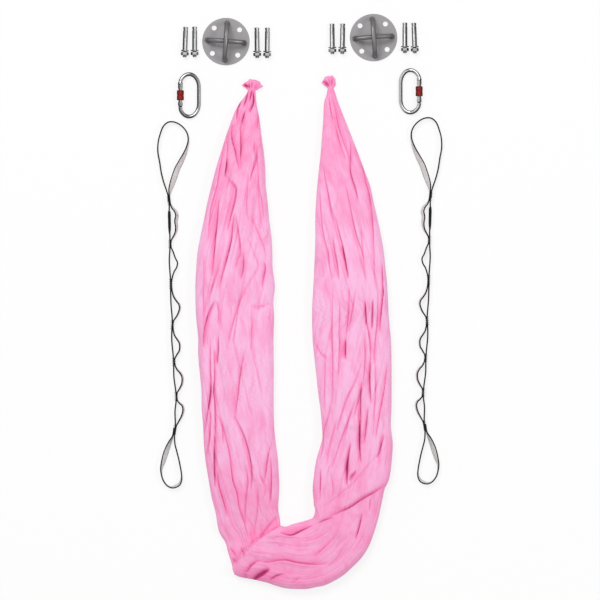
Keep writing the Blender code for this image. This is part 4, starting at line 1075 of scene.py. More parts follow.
def cloth_grid(chosen):
    """Rows of points over the skin, with the heights that the folds leave and the shade painted inside them."""
    leg = smooth_rows(LEG_STATIONS, LEG_ROWS)
    band = smooth_rows(BAND_STATIONS, BAND_ROWS, BOWL_CROWDING)
    rows = np.vstack([leg, lip_rows(leg[-1], band[0]), band])
    x, y, z = skin_rows(rows, chosen.height)
    bulge_lip(x, y)
    travel = np.concatenate([[0], np.cumsum(np.hypot(*np.diff((rows[:, :2] + rows[:, 2:4]) / 2, axis=0).T))])
    travel = (travel * PIXEL)[:, None]
    lift = np.clip(z / z.max(axis=1, keepdims=True), 0, 1)
    width = np.hypot(rows[:, 0] - rows[:, 2], rows[:, 1] - rows[:, 3])[:, None]
    narrow = np.clip(width / FULL_WIDTH, LEAST_FOLD, 1)
    share = np.linspace(-1, 1, TOP_COLUMNS)[None, :] * np.ones_like(x)
    on_band = np.arange(len(rows))[:, None] > LEG_ROWS
    z = z + soft_ridges(share, travel) * narrow * np.where(on_band, BAND_CALM, 1.0) * lift ** RIDGE_FADE
    valleys, tint = fine_folds(share, travel)
    middle_y = (rows[:, 1] + rows[:, 3])[:, None] / 2
    bend = np.clip((middle_y - BEND_ROW) / BEND_BLEND, 0, 1) * on_band
    z = z - np.minimum(valleys * narrow * (1 - BEND_CALM * bend) * lift ** FOLD_FADE, DEEPEST_FOLD * z)
    left = fan_rows(x[0], y[0], z[0], LEFT_FAN, chosen.height)
    right = fan_rows(x[-1], y[-1], z[-1], RIGHT_FAN, chosen.height)
    x, y, z = (np.vstack([a[::-1], b, c]) for a, b, c in zip(left, (x, y, z), right))
    sink, painted_shade = crease_sink(x, y)
    # Shade is painted into the narrow folds, round the necks and at the shaded places.
    painted_shade[FAN_ROWS:-FAN_ROWS] += tint * (1 - BEND_PALE * bend)
    painted_shade += NECK_TONE * np.exp(-(((y - NECK_ROW) / NECK_REACH) ** 2))
    for place_x, place_y, wide, high, tone in SHADED_PLACES:
        painted_shade += tone * np.exp(-(((x - place_x) / wide) ** 2) - ((y - place_y) / high) ** 2)
    lift = np.clip(z / z.max(axis=1, keepdims=True), 0, 1)
    cut = np.minimum(sink * chosen.fold_depth * lift ** FOLD_FADE, DEEPEST_CREASE * z)
    return x, y, z - cut, painted_shade


def layered(x, y, z, painted_shade):
    """Adds the underside and the hidden layers, which carry the rest of the cloth's width."""
    columns = np.linspace(0, 1, x.shape[1])

    def at(places, *grids):
        return [np.array([np.interp(places, columns, row) for row in values]) for values in grids]

    shares = np.linspace(1, 0, UNDER_COLUMNS + 2)[1:-1]
    under = np.full((len(x), len(shares)), FLOOR_GAP)
    parts = [(x, y, z, painted_shade), (*at(shares, x, y), under, np.zeros_like(under))]
    for layer in range(INNER_LAYERS):
        shares = np.linspace(*INNER_SPAN, INNER_COLUMNS)[::-1 if layer % 2 else 1]
        level = (layer + 1) / (INNER_LAYERS + 1.5)
        inner_x, inner_y, inner_z, inner_painted_shade = at(shares, x, y, z, painted_shade)
        parts.append((inner_x, inner_y, FLOOR_GAP + (inner_z - FLOOR_GAP) * level * INNER_HEIGHT, inner_painted_shade))
    return [np.hstack(group) for group in zip(*parts)]


def cloth_mesh(chosen):
    x, y, z, painted_shade = layered(*cloth_grid(chosen))
    rows, columns = x.shape
    world_x = (x - MIDDLE_PIXEL[0]) * PIXEL
    world_y = (MIDDLE_PIXEL[1] - y) * PIXEL
    mesh = bmesh.new()
    bmesh.ops.create_grid(mesh, x_segments=columns - 1, y_segments=rows - 1, size=1)
    notes = {name: mesh.verts.layers.float.new(name) for name in ("across", "along", "fold", "tone")}
    steps = np.sqrt(np.diff(world_x) ** 2 + np.diff(world_y) ** 2 + np.diff(z) ** 2)
    widths = np.concatenate([np.zeros((rows, 1)), np.cumsum(steps, axis=1)], axis=1)
    steps = np.hypot(np.diff(world_x, axis=0), np.diff(world_y, axis=0))
    lengths = np.concatenate([[0], np.cumsum(steps[:, TOP_COLUMNS // 2])])
    tone = np.exp(-(((y - PALE_ROW) / PALE_REACH) ** 4))
    for vert in mesh.verts:
        column = round((vert.co.x + 1) / 2 * (columns - 1))
        row = round((vert.co.y + 1) / 2 * (rows - 1))
        vert.co = (world_x[row, column], world_y[row, column], z[row, column])
        vert[notes["across"]] = widths[row, column]
        vert[notes["along"]] = lengths[row]
        # The fold attribute carries the painted shade.
        vert[notes["fold"]] = painted_shade[row, column]
        vert[notes["tone"]] = tone[row, column]
    return mesh


class HAMMOCK_OT_cloth(Operator):
    """Lays the gathered jersey in its bend, with both fanned ends"""

    bl_idname = "hammock.cloth"
    bl_label = "Hammock cloth"

    def execute(self, context):
        chosen = settings("cloth")
        mesh = cloth_mesh(chosen)
        piece = finished(
            "gathered_jersey", mesh, jersey(chosen), "hammock_cloth", ["hammock_cloth"], pi
        )
        return {"FINISHED"}


# Daisy chains: webbing that stands on its edge. Routes are plan pixels of the left-hand chain, and a lean says
# how far the webbing lies over: zero on its edge, one flat.

BACK_RUN = [
    (168.4, 197.0), (169.3, 204.5), (169.3, 213.0), (169.8, 226.0), (170.0, 239.4), (170.0, 248.8),
    (169.4, 261.3), (170.5, 278.2), (170.7, 289.4), (171.1, 304.0), (172.4, 319.9), (172.0, 329.3),
    (171.9, 341.0), (173.5, 357.6), (173.8, 365.6), (174.0, 377.0), (175.9, 391.5), (176.2, 400.9),
    (175.1, 411.5), (175.4, 424.9), (173.9, 434.0),
]
TACKS = [
    ((168.6, 196.3), (169.6, 205.3)), ((170.2, 239.4), (170.2, 248.8)), ((170.8, 278.6), (171.0, 289.2)),
    ((172.6, 319.9), (172.3, 329.3)), ((173.9, 357.4), (174.1, 366.2)), ((176.2, 391.5), (176.5, 400.9)),
    ((175.7, 424.9), (174.0, 434.7)),
]
POCKETS = [
    [(170.3, 203.0), (172.2, 207.4), (175.2, 210.8), (176.9, 215.4), (176.0, 221.0), (176.6, 227.4),
     (175.4, 233.4), (171.2, 241.0)],
    [(171.0, 246.5), (173.2, 251.8), (175.4, 258.0), (177.6, 262.6), (176.6, 267.8), (174.0, 272.3),
     (171.8, 280.5)],
    [(171.6, 287.0), (173.4, 295.2), (176.3, 300.3), (179.2, 304.2), (179.9, 308.5), (177.6, 315.0),
     (173.5, 321.5)],
    [(173.0, 327.5), (174.5, 334.6), (177.1, 338.9), (179.7, 343.4), (179.7, 350.0), (177.1, 354.7),
     (174.6, 359.5)],
    [(175.0, 364.5), (177.3, 369.4), (180.3, 372.6), (182.6, 377.5), (182.1, 383.9), (179.6, 389.0),
     (177.0, 393.5)],
    [(177.2, 399.5), (179.6, 402.9), (182.5, 405.4), (183.5, 410.0), (182.0, 415.8), (179.2, 421.0),
     (176.0, 427.0)],
]
POCKET_RUN_START = (169.6, 196.5)
POCKET_RUN_END = (175.0, 434.5)
POCKET_LEANS = [0.28, 0.0, 0.10, 0.07, 0.12, 0.12]
# Two short layers of webbing beside the back run at the first pocket.
SHORT_LAYERS = [
    [(168.9, 211.0), (168.6, 215.0), (168.8, 221.0), (169.0, 228.0), (169.7, 234.0)],
    [(169.9, 211.5), (170.2, 215.0), (170.3, 221.0), (170.4, 227.0), (170.2, 231.0)],
]
TOP_LOOP = [
    (168.6, 202.0), (168.0, 195.4), (166.3, 189.8), (163.6, 182.0), (161.2, 172.5), (159.6, 162.0),
    (157.9, 152.4), (158.2, 142.8), (160.2, 134.6), (163.2, 126.9), (167.6, 122.7), (172.2, 121.9),
    (176.8, 123.0), (181.2, 125.7), (185.0, 129.5), (187.6, 134.2), (188.5, 139.8), (187.6, 145.7),
    (185.2, 153.0), (181.0, 161.6), (177.2, 169.0), (174.4, 176.9), (171.9, 184.4), (170.2, 190.4),
    (169.5, 196.8), (169.9, 202.0),
]
TOP_LOOP_LEANS = [
    0, 0, 0.03, 0.05, 0.06, 0.06, 0.05, 0.03, 0, 0, 0, 0, 0, 0, 0, 0.02, 0.05, 0.12,
    0.30, 0.52, 0.64, 0.66, 0.54, 0.30, 0, 0,
]
BOTTOM_LOOP = [
    (174.0, 428.0), (172.9, 435.6), (170.3, 441.4), (167.8, 447.4), (165.4, 454.2), (163.2, 461.8),
    (161.3, 469.4), (162.2, 477.1), (164.3, 481.9), (167.5, 485.6), (171.6, 487.2), (175.8, 486.3),
    (179.6, 483.8), (181.6, 478.6), (181.4, 472.4), (180.2, 465.6), (178.6, 458.0), (176.7, 450.6),
    (175.0, 443.6), (174.6, 436.0), (175.0, 428.0),
]
BOTTOM_LOOP_LEANS = [
    0, 0.04, 0.26, 0.46, 0.54, 0.40, 0.12, 0, 0, 0, 0.10, 0.22, 0.22, 0.08, 0, 0, 0, 0, 0, 0, 0,
]
STRAP_ROUNDNESS = 0.42
# Bar tacks: rows of slanting stitches, with their places along the tack and up the webbing as shares.
STITCHES_PER_TACK = 11
STITCH_RADIUS = 0.00040
STITCH_DROP = 0.03
TACK_SPREAD = 0.0024
TACK_ROWS = (0.10, 0.30, 0.50, 0.70, 0.90)
TACK_FOOT = 0.14
TACK_HEIGHT = 0.72


def strap_section(width, thickness):
    """A flat section with round edges, with its width along Y from minus one to one."""
    corner = thickness * STRAP_ROUNDNESS
    points = []
    for side_y, side_x, start in ((1, 1, 0), (1, -1, pi / 2), (-1, -1, pi), (-1, 1, 3 * pi / 2)):
        for step in range(4):
            turn = start + pi / 2 * step / 3
            x = side_x * (thickness / 2 - corner) + corner * cos(turn)
            y = side_y * (width / 2 - corner) + corner * sin(turn)
            points.append(Vector((x, y / (width / 2), 0)))
    return points


def strap(route, leans, chosen, steps=4):
    """Webbing along a route. A lean of zero stands it on its edge."""
    points = smooth_points([spot(*pixel) for pixel in route], steps)
    spread = smooth_points([Vector((lean, 0, 0)) for lean in leans], steps)
    half = chosen.width / 2
    frames = []
    for index, point in enumerate(points):
        way = way_at(points, index)
        beside = Vector((way.y, -way.x, 0))
        lean = min(max(spread[index].x, 0), 1) * pi / 2
        wide = UP * cos(lean) + beside * sin(lean)
        thin = beside * cos(lean) - UP * sin(lean)
        height = half * abs(cos(lean)) + chosen.thickness / 2 * abs(sin(lean)) + FLOOR_GAP / 2
        frames.append(axes_at(Vector((point.x, point.y, height)), thin, wide * half, way))
    return swept(strap_section(chosen.width, chosen.thickness), frames)


def chain_webbing(chosen):
    run, leans = [POCKET_RUN_START], [0.0]
    for points, lean in zip(POCKETS, POCKET_LEANS):
        run += points
        leans += [lean * sin(pi * index / (len(points) - 1)) for index in range(len(points))]
    mesh = strap(BACK_RUN, [0] * len(BACK_RUN), chosen)
    join_into(mesh, strap(run + [POCKET_RUN_END], leans + [0.0], chosen, 6))
    for layer in SHORT_LAYERS:
        join_into(mesh, strap(layer, [0] * len(layer), chosen))
    join_into(mesh, strap(TOP_LOOP, TOP_LOOP_LEANS, chosen))
    return join_into(mesh, strap(BOTTOM_LOOP, BOTTOM_LOOP_LEANS, chosen))


def bar_tacks(chosen):
    """Rows of stitches that hold the two layers together, across the webbing's width."""
    mesh = bmesh.new()
    drop = UP * (chosen.width * STITCH_DROP)
    for start, end in TACKS:
        low, high = spot(*start), spot(*end)
        length, way = (high - low).length, (high - low).normalized()
        beside = Vector((way.y, -way.x, 0)) * (chosen.thickness + STITCH_RADIUS)
        for face in (-1, 1):
            for row in TACK_ROWS:
                for stitch in range(STITCHES_PER_TACK):
                    rise = (stitch + 0.5) / STITCHES_PER_TACK
                    place = low + way * (length * row) + beside * face
                    place.z = chosen.width * (TACK_FOOT + TACK_HEIGHT * rise)
                    slant = way * TACK_SPREAD / 2 * (1 if stitch % 2 else 0.8)
                    join_into(mesh, thread_stitch(place - slant - drop, place + slant + drop))
    return mesh


def thread_stitch(start, end):
    mesh = bmesh.new()
    way = end - start
    bmesh.ops.create_cone(
        mesh, cap_ends=True, segments=5, radius1=STITCH_RADIUS, radius2=STITCH_RADIUS, depth=way.length
    )
    turn = way.to_track_quat("Z", "Y").to_matrix().to_4x4()
    return placed(mesh, Matrix.Translation((start + end) / 2) @ turn)


class HAMMOCK_OT_daisy_chains(Operator):
    """Sews both daisy chains from webbing and bar tacks"""

    bl_idname = "hammock.daisy_chains"
    bl_label = "Daisy chains"

    def execute(self, context):
        chosen = settings("straps")
        face, thread = webbing(chosen), stitch_thread()
        for hand, side in HANDS.items():
            node = f"{hand}_daisy_chain"
            strips = to_hand(chain_webbing(chosen), side)
            finished(f"{node}_webbing", strips, face, node, [node], radians(60))
            finished(f"{node}_bar_tacks", to_hand(bar_tacks(chosen), side), thread, node)
        return {"FINISHED"}


# Ceiling plates

# Painted glints, which make the metal lighter where it faces one way: the way they face on the left-hand set, where
# they start and are full, and their share of the colour.
PLATE_GLINTS = (((0, 0, 1), 0.5, 0.9, 1.0),)
BAR_GLINTS = (((0, 0, 1), 0.40, 0.93, 1.0), ((0.45, 0.1, 0.88), 0.95, 0.99, 2.0))
PLATE_PIXEL = (225.95, 41.6)
PLATE_TURN = radians(-4)
PLATE_DIAMETER = 0.1185
PLATE_THICKNESS = 0.004
BAR_DIAMETER = 0.0115
BAR_SET_IN = 0.01375
BAR_FOOT = 0.003
LOWER_BAR_RISE = 0.026
BAR_SQUARENESS = 2.3
BAR_STEPS = 40
BAR_SIDES = 28
SEAT_GAP = 0.0003
WELD_RADIUS = 0.0012
WELD_STEPS = 56
WELD_SIDES = 10
# The weld's lumps: share and number of the even ones, and share and size of the uneven ones.
WELD_LUMPS = (0.16, 17, 0.10, 3)


def signed_power(value, exponent):
    return abs(value) ** exponent * (1 if value >= 0 else -1)


def bar_line(rise):
    foot = PLATE_THICKNESS + SEAT_GAP
    half = PLATE_DIAMETER / 2 - BAR_SET_IN
    points = [Vector((half, 0, foot))]
    for step in range(BAR_STEPS + 1):
        turn = pi * step / BAR_STEPS
        across, high = (signed_power(part, 2 / BAR_SQUARENESS) for part in (cos(turn), sin(turn)))
        points.append(Vector((half * across, 0, foot + BAR_FOOT + rise * high)))
    return points + [Vector((-half, 0, foot))]


def loop_bar(rise, turn):
    points = bar_line(rise)
    mesh = rod(points, [BAR_DIAMETER / 2] * len(points), BAR_SIDES, Vector((0, 1, 0)))
    return placed(mesh, Matrix.Rotation(turn, 4, "Z"))


def weld_bead(place, seed):
    """An uneven ring of weld round a bar's foot."""
    ring = []
    even, count, uneven, pace = WELD_LUMPS
    lift = PLATE_THICKNESS + WELD_RADIUS * 0.30
    for index in range(WELD_STEPS):
        turn = 2 * pi * index / WELD_STEPS
        out, way = Vector((cos(turn), sin(turn), 0)), Vector((-sin(turn), cos(turn), 0))
        rough = noise.noise(Vector((cos(turn), sin(turn), seed)) * pace)
        lump = 1 + even * sin(turn * count + seed) + uneven * rough
        reach = BAR_DIAMETER / 2 + WELD_RADIUS * (0.35 + 0.1 * lump)
        size = WELD_RADIUS * lump
        ring.append(axes_at(out * reach + UP * lift, out * size, UP * size, way))
    mesh = swept(circle_section(WELD_SIDES), ring + ring[:1], capped=False)
    bmesh.ops.remove_doubles(mesh, verts=mesh.verts, dist=MERGE_DISTANCE)
    return placed(mesh, Matrix.Translation(place))


class HAMMOCK_OT_ceiling_plates(Operator):
    """Finishes both ceiling plates, their crossed loop bars and the welds"""

    bl_idname = "hammock.ceiling_plates"
    bl_label = "Ceiling plates"

    def execute(self, context):
        chosen = settings("metal")
        disc = metal("plate_grey", chosen.plate_colour, 0.62, 0.0, 0.92, PLATE_GLINTS, 220.0, 0.3)
        bar = metal("bar_grey", chosen.bar_colour, 0.38, 0.35, 0.45, BAR_GLINTS, 90.0)
        half = PLATE_DIAMETER / 2 - BAR_SET_IN
        bars = {"lower": (LOWER_BAR_RISE, 0), "upper": (LOWER_BAR_RISE + BAR_DIAMETER + SEAT_GAP, pi / 2)}
        for hand, side in HANDS.items():
            body = f"{hand}_ceiling_plate"
            dress(f"{hand}_plate_disc", disc)
            seat = Matrix.Translation(spot(*PLATE_PIXEL)) @ Matrix.Rotation(PLATE_TURN, 4, "Z")
            for label, (rise, turn) in bars.items():
                mesh = to_hand(placed(loop_bar(rise, turn), seat), side)
                node = f"{hand}_plate_{label}_bar"
                finished(f"{node}_round", mesh, bar, body, [node])
            welds = bmesh.new()
            for index in range(4):
                turn = pi / 2 * index
                join_into(welds, weld_bead(Vector((half * cos(turn), half * sin(turn), 0)), index * 2.3))
            finished(f"{hand}_plate_welds", to_hand(placed(welds, seat), side), bar, body, (), pi)
        return {"FINISHED"}


# Sleeve anchors, along their own axis from the free stud end to the cone

# Painted shade down the outer side of each anchor, and a painted highlight along its top.
ZINC_GLINTS = (((-1, 0, 0.3), 0.42, 0.76, 0.06), ((0.20, 0, 0.98), 0.976, 0.998, 0.72))
ANCHOR_LENGTH = 0.076
STUD_RADIUS = 0.0049
STUD_PROUD = 0.0048
NUT_HEIGHT = 0.008
NUT_STANDOFF = 0.0026
WASHER_RADIUS = 0.010
WASHER_THICKNESS = 0.002
SLEEVE_RADIUS = 0.0061
SLEEVE_WALL = 0.0009
CONE_LENGTH = 0.0055
CONE_LAND = 0.0035
SLOT_LENGTH = 0.020
SLOT_WIDTH = 0.0016
THREAD_PITCH = 0.00125
THREAD_DEPTH = 0.0006
STUD_CHAMFER = 0.0004
WASHER_EDGE = 0.0003
STUD_SIDES = 32
TURNED_SIDES = 48
# Place of each anchor's free stud end in plan pixels, and its turn in degrees.
ANCHOR_PLACES = {
    "outer": (184.75, 57.5, -1.9), "second": (194.7, 57.3, 0.0), "third": (257.3, 58.2, 0.9),
    "inner": (267.1, 58.3, -0.7),
}


def washer_start():
    return STUD_PROUD + NUT_HEIGHT + NUT_STANDOFF


def stud_mesh():
    """The stud: threads at its free end, a plain shank and the cone that spreads the sleeve."""
    root = STUD_RADIUS - THREAD_DEPTH
    points = [(0, 0), (root - STUD_CHAMFER, 0), (root, STUD_CHAMFER)]
    height = 0.0006
    while height < washer_start() + WASHER_THICKNESS:
        for radius, share in ((root, 0), (STUD_RADIUS, 0.42), (STUD_RADIUS, 0.58), (root, 1)):
            points.append((radius, height + THREAD_PITCH * share))
        height += THREAD_PITCH
    shank, land = STUD_RADIUS - 0.0002, ANCHOR_LENGTH - CONE_LAND
    points += [
        (shank, height + 0.0005), (shank, land - CONE_LENGTH),
        (SLEEVE_RADIUS - 0.0001, land), (SLEEVE_RADIUS - 0.0001, ANCHOR_LENGTH - 0.0006),
        (SLEEVE_RADIUS - 0.0006, ANCHOR_LENGTH), (0, ANCHOR_LENGTH),
    ]
    return spun(points, STUD_SIDES)


def sleeve_mesh():
    """The thin sleeve, slotted lengthwise from the cone end."""
    start = washer_start() + WASHER_THICKNESS + SEAT_GAP
    end = ANCHOR_LENGTH - CONE_LAND - CONE_LENGTH
    root = end - SLOT_LENGTH
    rings = [start, start + 0.012, root - 0.004, root, root + 0.001, end - 0.008, end]
    mesh = spun([(SLEEVE_RADIUS, height) for height in rings], TURNED_SIDES)
    slots = []
    for face in mesh.faces:
        middle = face.calc_center_median()
        if middle.y > root and min(abs(middle.x), abs(middle.z)) < SLOT_WIDTH / 2:
            slots.append(face)
    bmesh.ops.delete(mesh, geom=slots, context="FACES")
    bmesh.ops.recalc_face_normals(mesh, faces=mesh.faces)
    outward = mesh.faces[:][0]
    middle = outward.calc_center_median()
    if outward.normal.dot(Vector((middle.x, 0, middle.z))) < 0:
        bmesh.ops.reverse_faces(mesh, faces=mesh.faces)
    bmesh.ops.solidify(mesh, geom=mesh.faces[:], thickness=SLEEVE_WALL)
    bmesh.ops.recalc_face_normals(mesh, faces=mesh.faces)
    return mesh


def washer_mesh():
    start = washer_start()
    end = start + WASHER_THICKNESS
    bore, edge = STUD_RADIUS + SEAT_GAP, WASHER_EDGE
    points = [
        (bore, start), (WASHER_RADIUS - edge, start), (WASHER_RADIUS, start + edge), (WASHER_RADIUS, end - edge),
        (WASHER_RADIUS - edge, end), (bore, end),
    ]
    return spun(points, TURNED_SIDES, closed=True)


class HAMMOCK_OT_sleeve_anchors(Operator):
    """Turns the studs, sleeves and washers of the eight sleeve anchors"""

    bl_idname = "hammock.sleeve_anchors"
    bl_label = "Sleeve anchors"

    def execute(self, context):
        chosen = settings("metal")
        zinc = metal("zinc_steel", chosen.zinc_colour, 0.44, 1.0, 0.33, ZINC_GLINTS, 130.0, 0.05)
        rest_length = ANCHOR_LENGTH - washer_start() - WASHER_THICKNESS
        tilt = atan((WASHER_RADIUS - SLEEVE_RADIUS) / rest_length)
        lift = ANCHOR_LENGTH * sin(tilt) + SLEEVE_RADIUS * cos(tilt)
        makers = {"stud": stud_mesh, "sleeve": sleeve_mesh, "washer": washer_mesh}
        for hand, side in HANDS.items():
            for label, (x, y, turn) in ANCHOR_PLACES.items():
                seat = (
                    Matrix.Translation(spot(x, y, lift)) @ Matrix.Rotation(radians(turn), 4, "Z")
                    @ Matrix.Rotation(-tilt, 4, "X")
                )
                for kind, maker in makers.items():
                    node = f"{hand}_{label}_anchor_{kind}"
                    mesh = to_hand(placed(maker(), seat), side)
                    finished(f"{node}_turned", mesh, zinc, f"{hand}_{label}_anchor", [node])
                dress(f"{hand}_{label}_anchor_nut", zinc)
        return {"FINISHED"}


# Carabiners, in their own frame: the gate at minus X, the nose at plus Y, the middle at the origin

# Painted light on the carabiners: a grey top, a paler side towards the spine, and a white highlight on the arcs
# that face the lamp, over painted shade elsewhere.
STEEL_GLINTS = (
    ((0, 0, 1), 0.94, 0.99, 0.42), ((0.75, 0, 0.66), 0.70, 0.94, 0.80), ((-0.12, 0.30, 0.95), 0.958, 0.992, 1.8),
)
CARABINER_PIXEL = (189.2, 95.5)
CARABINER_LENGTH = 0.1155
CARABINER_WIDTH = 0.0584
ROD_RADIUS = 0.00475
BARREL_RADIUS = 0.0062
BARREL_SET_IN = 0.0010
SPINE_STRAIGHT = 0.0408
NOSE_FACE = 0.0269
NOSE_COLLAR = 0.0040
NOSE_TAPER = 0.0025
# Points of the bow that lie nearer than this to the gate's line are left out.
LEAST_STEP = 0.0008
HEEL_HEIGHT = -0.0296
HEEL_STUB = 0.0025
HINGE_HEIGHT = -0.022
# The nose's hooked tongue, and how deep it and the tang are rooted in the rod.
TONGUE_THICKNESS = 0.0034
TONGUE_REACH = 0.0093
TONGUE_SET_IN = 0.0010
TONGUE_NECK = 0.0034
TONGUE_WIDTH = 0.0069
TONGUE_HEAD = 0.0028
TONGUE_CORNER = 0.0007
ROOT_DEPTH = 0.002
EDGE_BEVEL = 0.0002
TANG_THICKNESS = 0.0036
TANG_RADIUS = 0.0043
TANG_STEPS = 12
THREAD_RADIUS = 0.0048
LOCK_RADIUS = 0.00885
LOCK_LENGTH = 0.0250
LOCK_HEIGHT = 0.0002
LOCK_THREAD_LENGTH = 0.0080
LOCK_STEPS = 60
LOCK_SHOULDER = 0.0022
SHOULDER_DROP = 0.0016
WAIST_DEPTH = 0.00055
WAIST_REACH = 0.0022
# The knurl: its depth, how many diamonds lie round the sleeve, where it fades at both ends, and the bore it spares.
KNURL_DEPTH = 0.00045
KNURL_ROUND = 13
KNURL_FADE = 0.002
BORE_MARGIN = 0.0004
BOW_STEPS = 18
ROD_SIDES = 32


def gate_line():
    return CARABINER_WIDTH / 2 - BARREL_RADIUS - BARREL_SET_IN


def spine_line():
    return CARABINER_WIDTH / 2 - ROD_RADIUS


def carabiner_seat():
    """Where the carabiner lies, leaning on its thick lock sleeve."""
    tilt = asin((LOCK_RADIUS - ROD_RADIUS) / (gate_line() + spine_line()))
    place = spot(*CARABINER_PIXEL, ROD_RADIUS + spine_line() * sin(tilt))
    return Matrix.Translation(place) @ Matrix.Rotation(tilt, 4, "Y")


def bow(way):
    """The quarter oval from the top, or from the foot where way is minus one, to the spine."""
    start = SPINE_STRAIGHT / 2
    rise = CARABINER_LENGTH / 2 - ROD_RADIUS - start
    turns = [pi / 2 * step / BOW_STEPS for step in range(BOW_STEPS + 1)]
    return [Vector((spine_line() * sin(turn), way * (start + rise * cos(turn)), 0)) for turn in turns]


def frame_line():
    """The middle line of the frame's rod, from the nose over the top, down the spine and round to the heel."""
    taper = NOSE_FACE + NOSE_COLLAR
    nose = (NOSE_FACE, NOSE_FACE + NOSE_COLLAR / 2, taper, taper + NOSE_TAPER / 2, taper + NOSE_TAPER)
    gate_side = [
        [Vector((-gate_line(), height, 0)) for height in heights]
        for heights in (nose, (HEEL_HEIGHT - HEEL_STUB, HEEL_HEIGHT))
    ]
    ends = {}
    for way in (1, -1):
        mirrored = [Vector((-point.x, point.y, 0)) for point in bow(way)[1:]]
        ends[way] = [point for point in mirrored if point.x > LEAST_STEP - gate_line()]
    spine = [Vector((spine_line(), SPINE_STRAIGHT / 2 * share, 0)) for share in (0.5, 0, -0.5)]
    return gate_side[0] + ends[1][::-1] + bow(1) + spine + bow(-1)[::-1] + ends[-1] + gate_side[1]


def gate_plate(outline, thickness):
    """A flat plate on the gate's line, with softened edges."""
    return rounded(plate([(x - gate_line(), y) for x, y in outline], thickness), EDGE_BEVEL)


def frame_mesh():
    points = frame_line()
    radii = [ROD_RADIUS] * len(points)
    radii[0:4] = [BARREL_RADIUS - 0.0003, BARREL_RADIUS, BARREL_RADIUS, (BARREL_RADIUS + ROD_RADIUS) / 2]
    mesh = rod(points, radii, ROD_SIDES, UP)
    outer = TONGUE_SET_IN - BARREL_RADIUS
    neck, hook = outer + TONGUE_NECK, outer + TONGUE_WIDTH
    bottom, top = NOSE_FACE - TONGUE_REACH, NOSE_FACE + ROOT_DEPTH
    head, corner = bottom + TONGUE_HEAD, TONGUE_CORNER
    tongue = [
        (outer, top), (outer, bottom + corner), (outer + corner, bottom), (hook - corner, bottom),
        (hook, bottom + corner), (hook, head), (neck, head), (neck, top),
    ]
    join_into(mesh, gate_plate(tongue, TONGUE_THICKNESS))
    foot = HEEL_HEIGHT - ROOT_DEPTH
    tang = [(-TANG_RADIUS, foot), (TANG_RADIUS, foot)]
    for step in range(TANG_STEPS + 1):
        turn = pi * step / TANG_STEPS
        tang.append((TANG_RADIUS * cos(turn), HINGE_HEIGHT + TANG_RADIUS * sin(turn)))
    return join_into(mesh, gate_plate(tang, TANG_THICKNESS))


def lock_sleeve_mesh():
    """The lock sleeve with a waist and a diamond knurl, its knurl height noted as across."""
    foot, top = -LOCK_LENGTH / 2, LOCK_LENGTH / 2
    thread, bore = THREAD_RADIUS + SEAT_GAP, BARREL_RADIUS + SEAT_GAP
    step = foot + LOCK_THREAD_LENGTH
    outside = []
    for index in range(LOCK_STEPS + 1):
        height = foot + LOCK_LENGTH * index / LOCK_STEPS
        end = min(height - foot, top - height)
        ease = 1 if end > LOCK_SHOULDER else (1 - (1 - end / LOCK_SHOULDER) ** 2) ** 0.5
        waist = WAIST_DEPTH * np.exp(-((height / WAIST_REACH) ** 2))
        outside.append((LOCK_RADIUS - SHOULDER_DROP * (1 - ease) - waist, height))
    inside = [(bore, top), (bore, step), (thread, step)]
    mesh = spun([(thread, foot)] + outside + inside, 8 * KNURL_ROUND, closed=True)
    note = mesh.verts.layers.float.new("across")
    for vert in mesh.verts:
        radius = (vert.co.x ** 2 + vert.co.z ** 2) ** 0.5
        if radius < bore + BORE_MARGIN:
            continue
        turn = np.arctan2(vert.co.z, vert.co.x) * KNURL_ROUND / pi
        climb = vert.co.y * KNURL_ROUND / (pi * LOCK_RADIUS)
        ridges = min(abs((turn + climb) % 2 - 1), abs((turn - climb) % 2 - 1))
        inward = min(min(vert.co.y - foot, top - vert.co.y) / KNURL_FADE, 1)
        height = min(ridges * 2.0, 1.0)
        vert[note] = height * inward + (1 - inward) * 0.5
        sink = KNURL_DEPTH * (1 - height) * inward
        vert.co.x *= 1 - sink / radius
        vert.co.z *= 1 - sink / radius
    return mesh


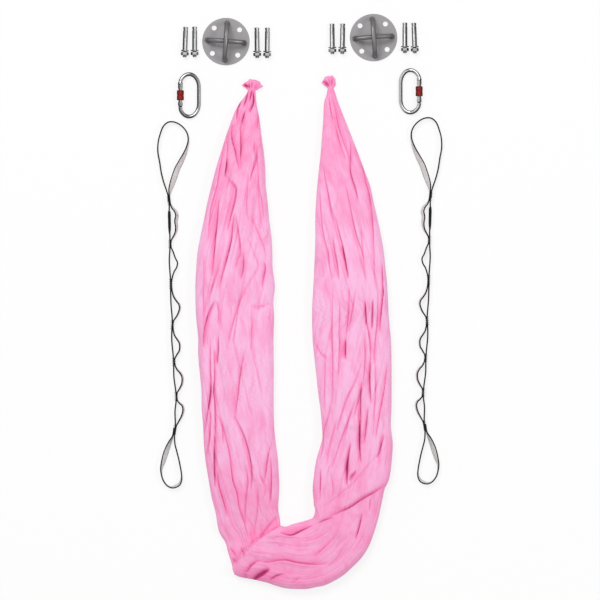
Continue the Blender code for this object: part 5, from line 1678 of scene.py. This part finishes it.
class HAMMOCK_OT_carabiners(Operator):
    """Bends the carabiners' frames and turns their knurled lock sleeves"""

    bl_idname = "hammock.carabiners"
    bl_label = "Carabiners"

    def execute(self, context):
        chosen = settings("metal")
        steel = metal("polished_steel", chosen.steel_colour, 0.40, 1.0, 0.15, STEEL_GLINTS, 45.0, 0.02, 1.6)
        spring = metal("spring_steel", chosen.steel_colour, 0.3)
        red = knurled_red(chosen)
        seat = carabiner_seat()
        line = Vector((-gate_line(), 0, 0))
        for hand, side in HANDS.items():
            body = f"{hand}_carabiner"
            node = f"{hand}_carabiner_frame"
            mesh = to_hand(placed(frame_mesh(), seat), side)
            finished(f"{node}_bent", mesh, steel, body, [node])
            node = f"{hand}_carabiner_lock_sleeve"
            place = seat @ Matrix.Translation(line + Vector((0, LOCK_HEIGHT, 0)))
            mesh = to_hand(placed(lock_sleeve_mesh(), place), side)
            finished(f"{node}_knurled", mesh, red, f"{hand}_lock_sleeve", [node], radians(60))
            for part in ("gate", "hinge_pin", "latch_pin"):
                dress(f"{hand}_carabiner_{part}", steel)
            dress(f"{hand}_carabiner_gate_spring", spring)
        return {"FINISHED"}


# Add-on


class HAMMOCK_PT_kit(Panel):
    bl_label = "Aerial hammock kit"
    bl_idname = "HAMMOCK_PT_kit"
    bl_space_type = "VIEW_3D"
    bl_region_type = "UI"
    bl_category = "Hammock"

    def draw(self, context):
        for operator in OPERATORS:
            self.layout.operator(operator.bl_idname)
        for name in SETTINGS:
            group = settings(name)
            box = self.layout.box()
            for key in group.__annotations__:
                box.prop(group, key)


OPERATORS = [
    HAMMOCK_OT_stage, HAMMOCK_OT_cloth, HAMMOCK_OT_daisy_chains, HAMMOCK_OT_ceiling_plates,
    HAMMOCK_OT_sleeve_anchors, HAMMOCK_OT_carabiners,
]
SETTINGS = {
    "stage": HammockStageSettings, "cloth": HammockClothSettings, "straps": HammockStrapSettings,
    "metal": HammockMetalSettings,
}


def register():
    for name, group in SETTINGS.items():
        bpy.utils.register_class(group)
        setattr(bpy.types.Scene, f"hammock_{name}", PointerProperty(type=group))
    for kind in (*OPERATORS, HAMMOCK_PT_kit):
        bpy.utils.register_class(kind)


def unregister():
    for kind in (HAMMOCK_PT_kit, *reversed(OPERATORS)):
        bpy.utils.unregister_class(kind)
    for name, group in SETTINGS.items():
        delattr(bpy.types.Scene, f"hammock_{name}")
        bpy.utils.unregister_class(group)


def main():
    register()
    bpy.ops.hammock.stage()
    bpy.ops.hammock.cloth()
    bpy.ops.hammock.daisy_chains()
    bpy.ops.hammock.ceiling_plates()
    bpy.ops.hammock.sleeve_anchors()
    bpy.ops.hammock.carabiners()


if __name__ == "__main__":
    main()
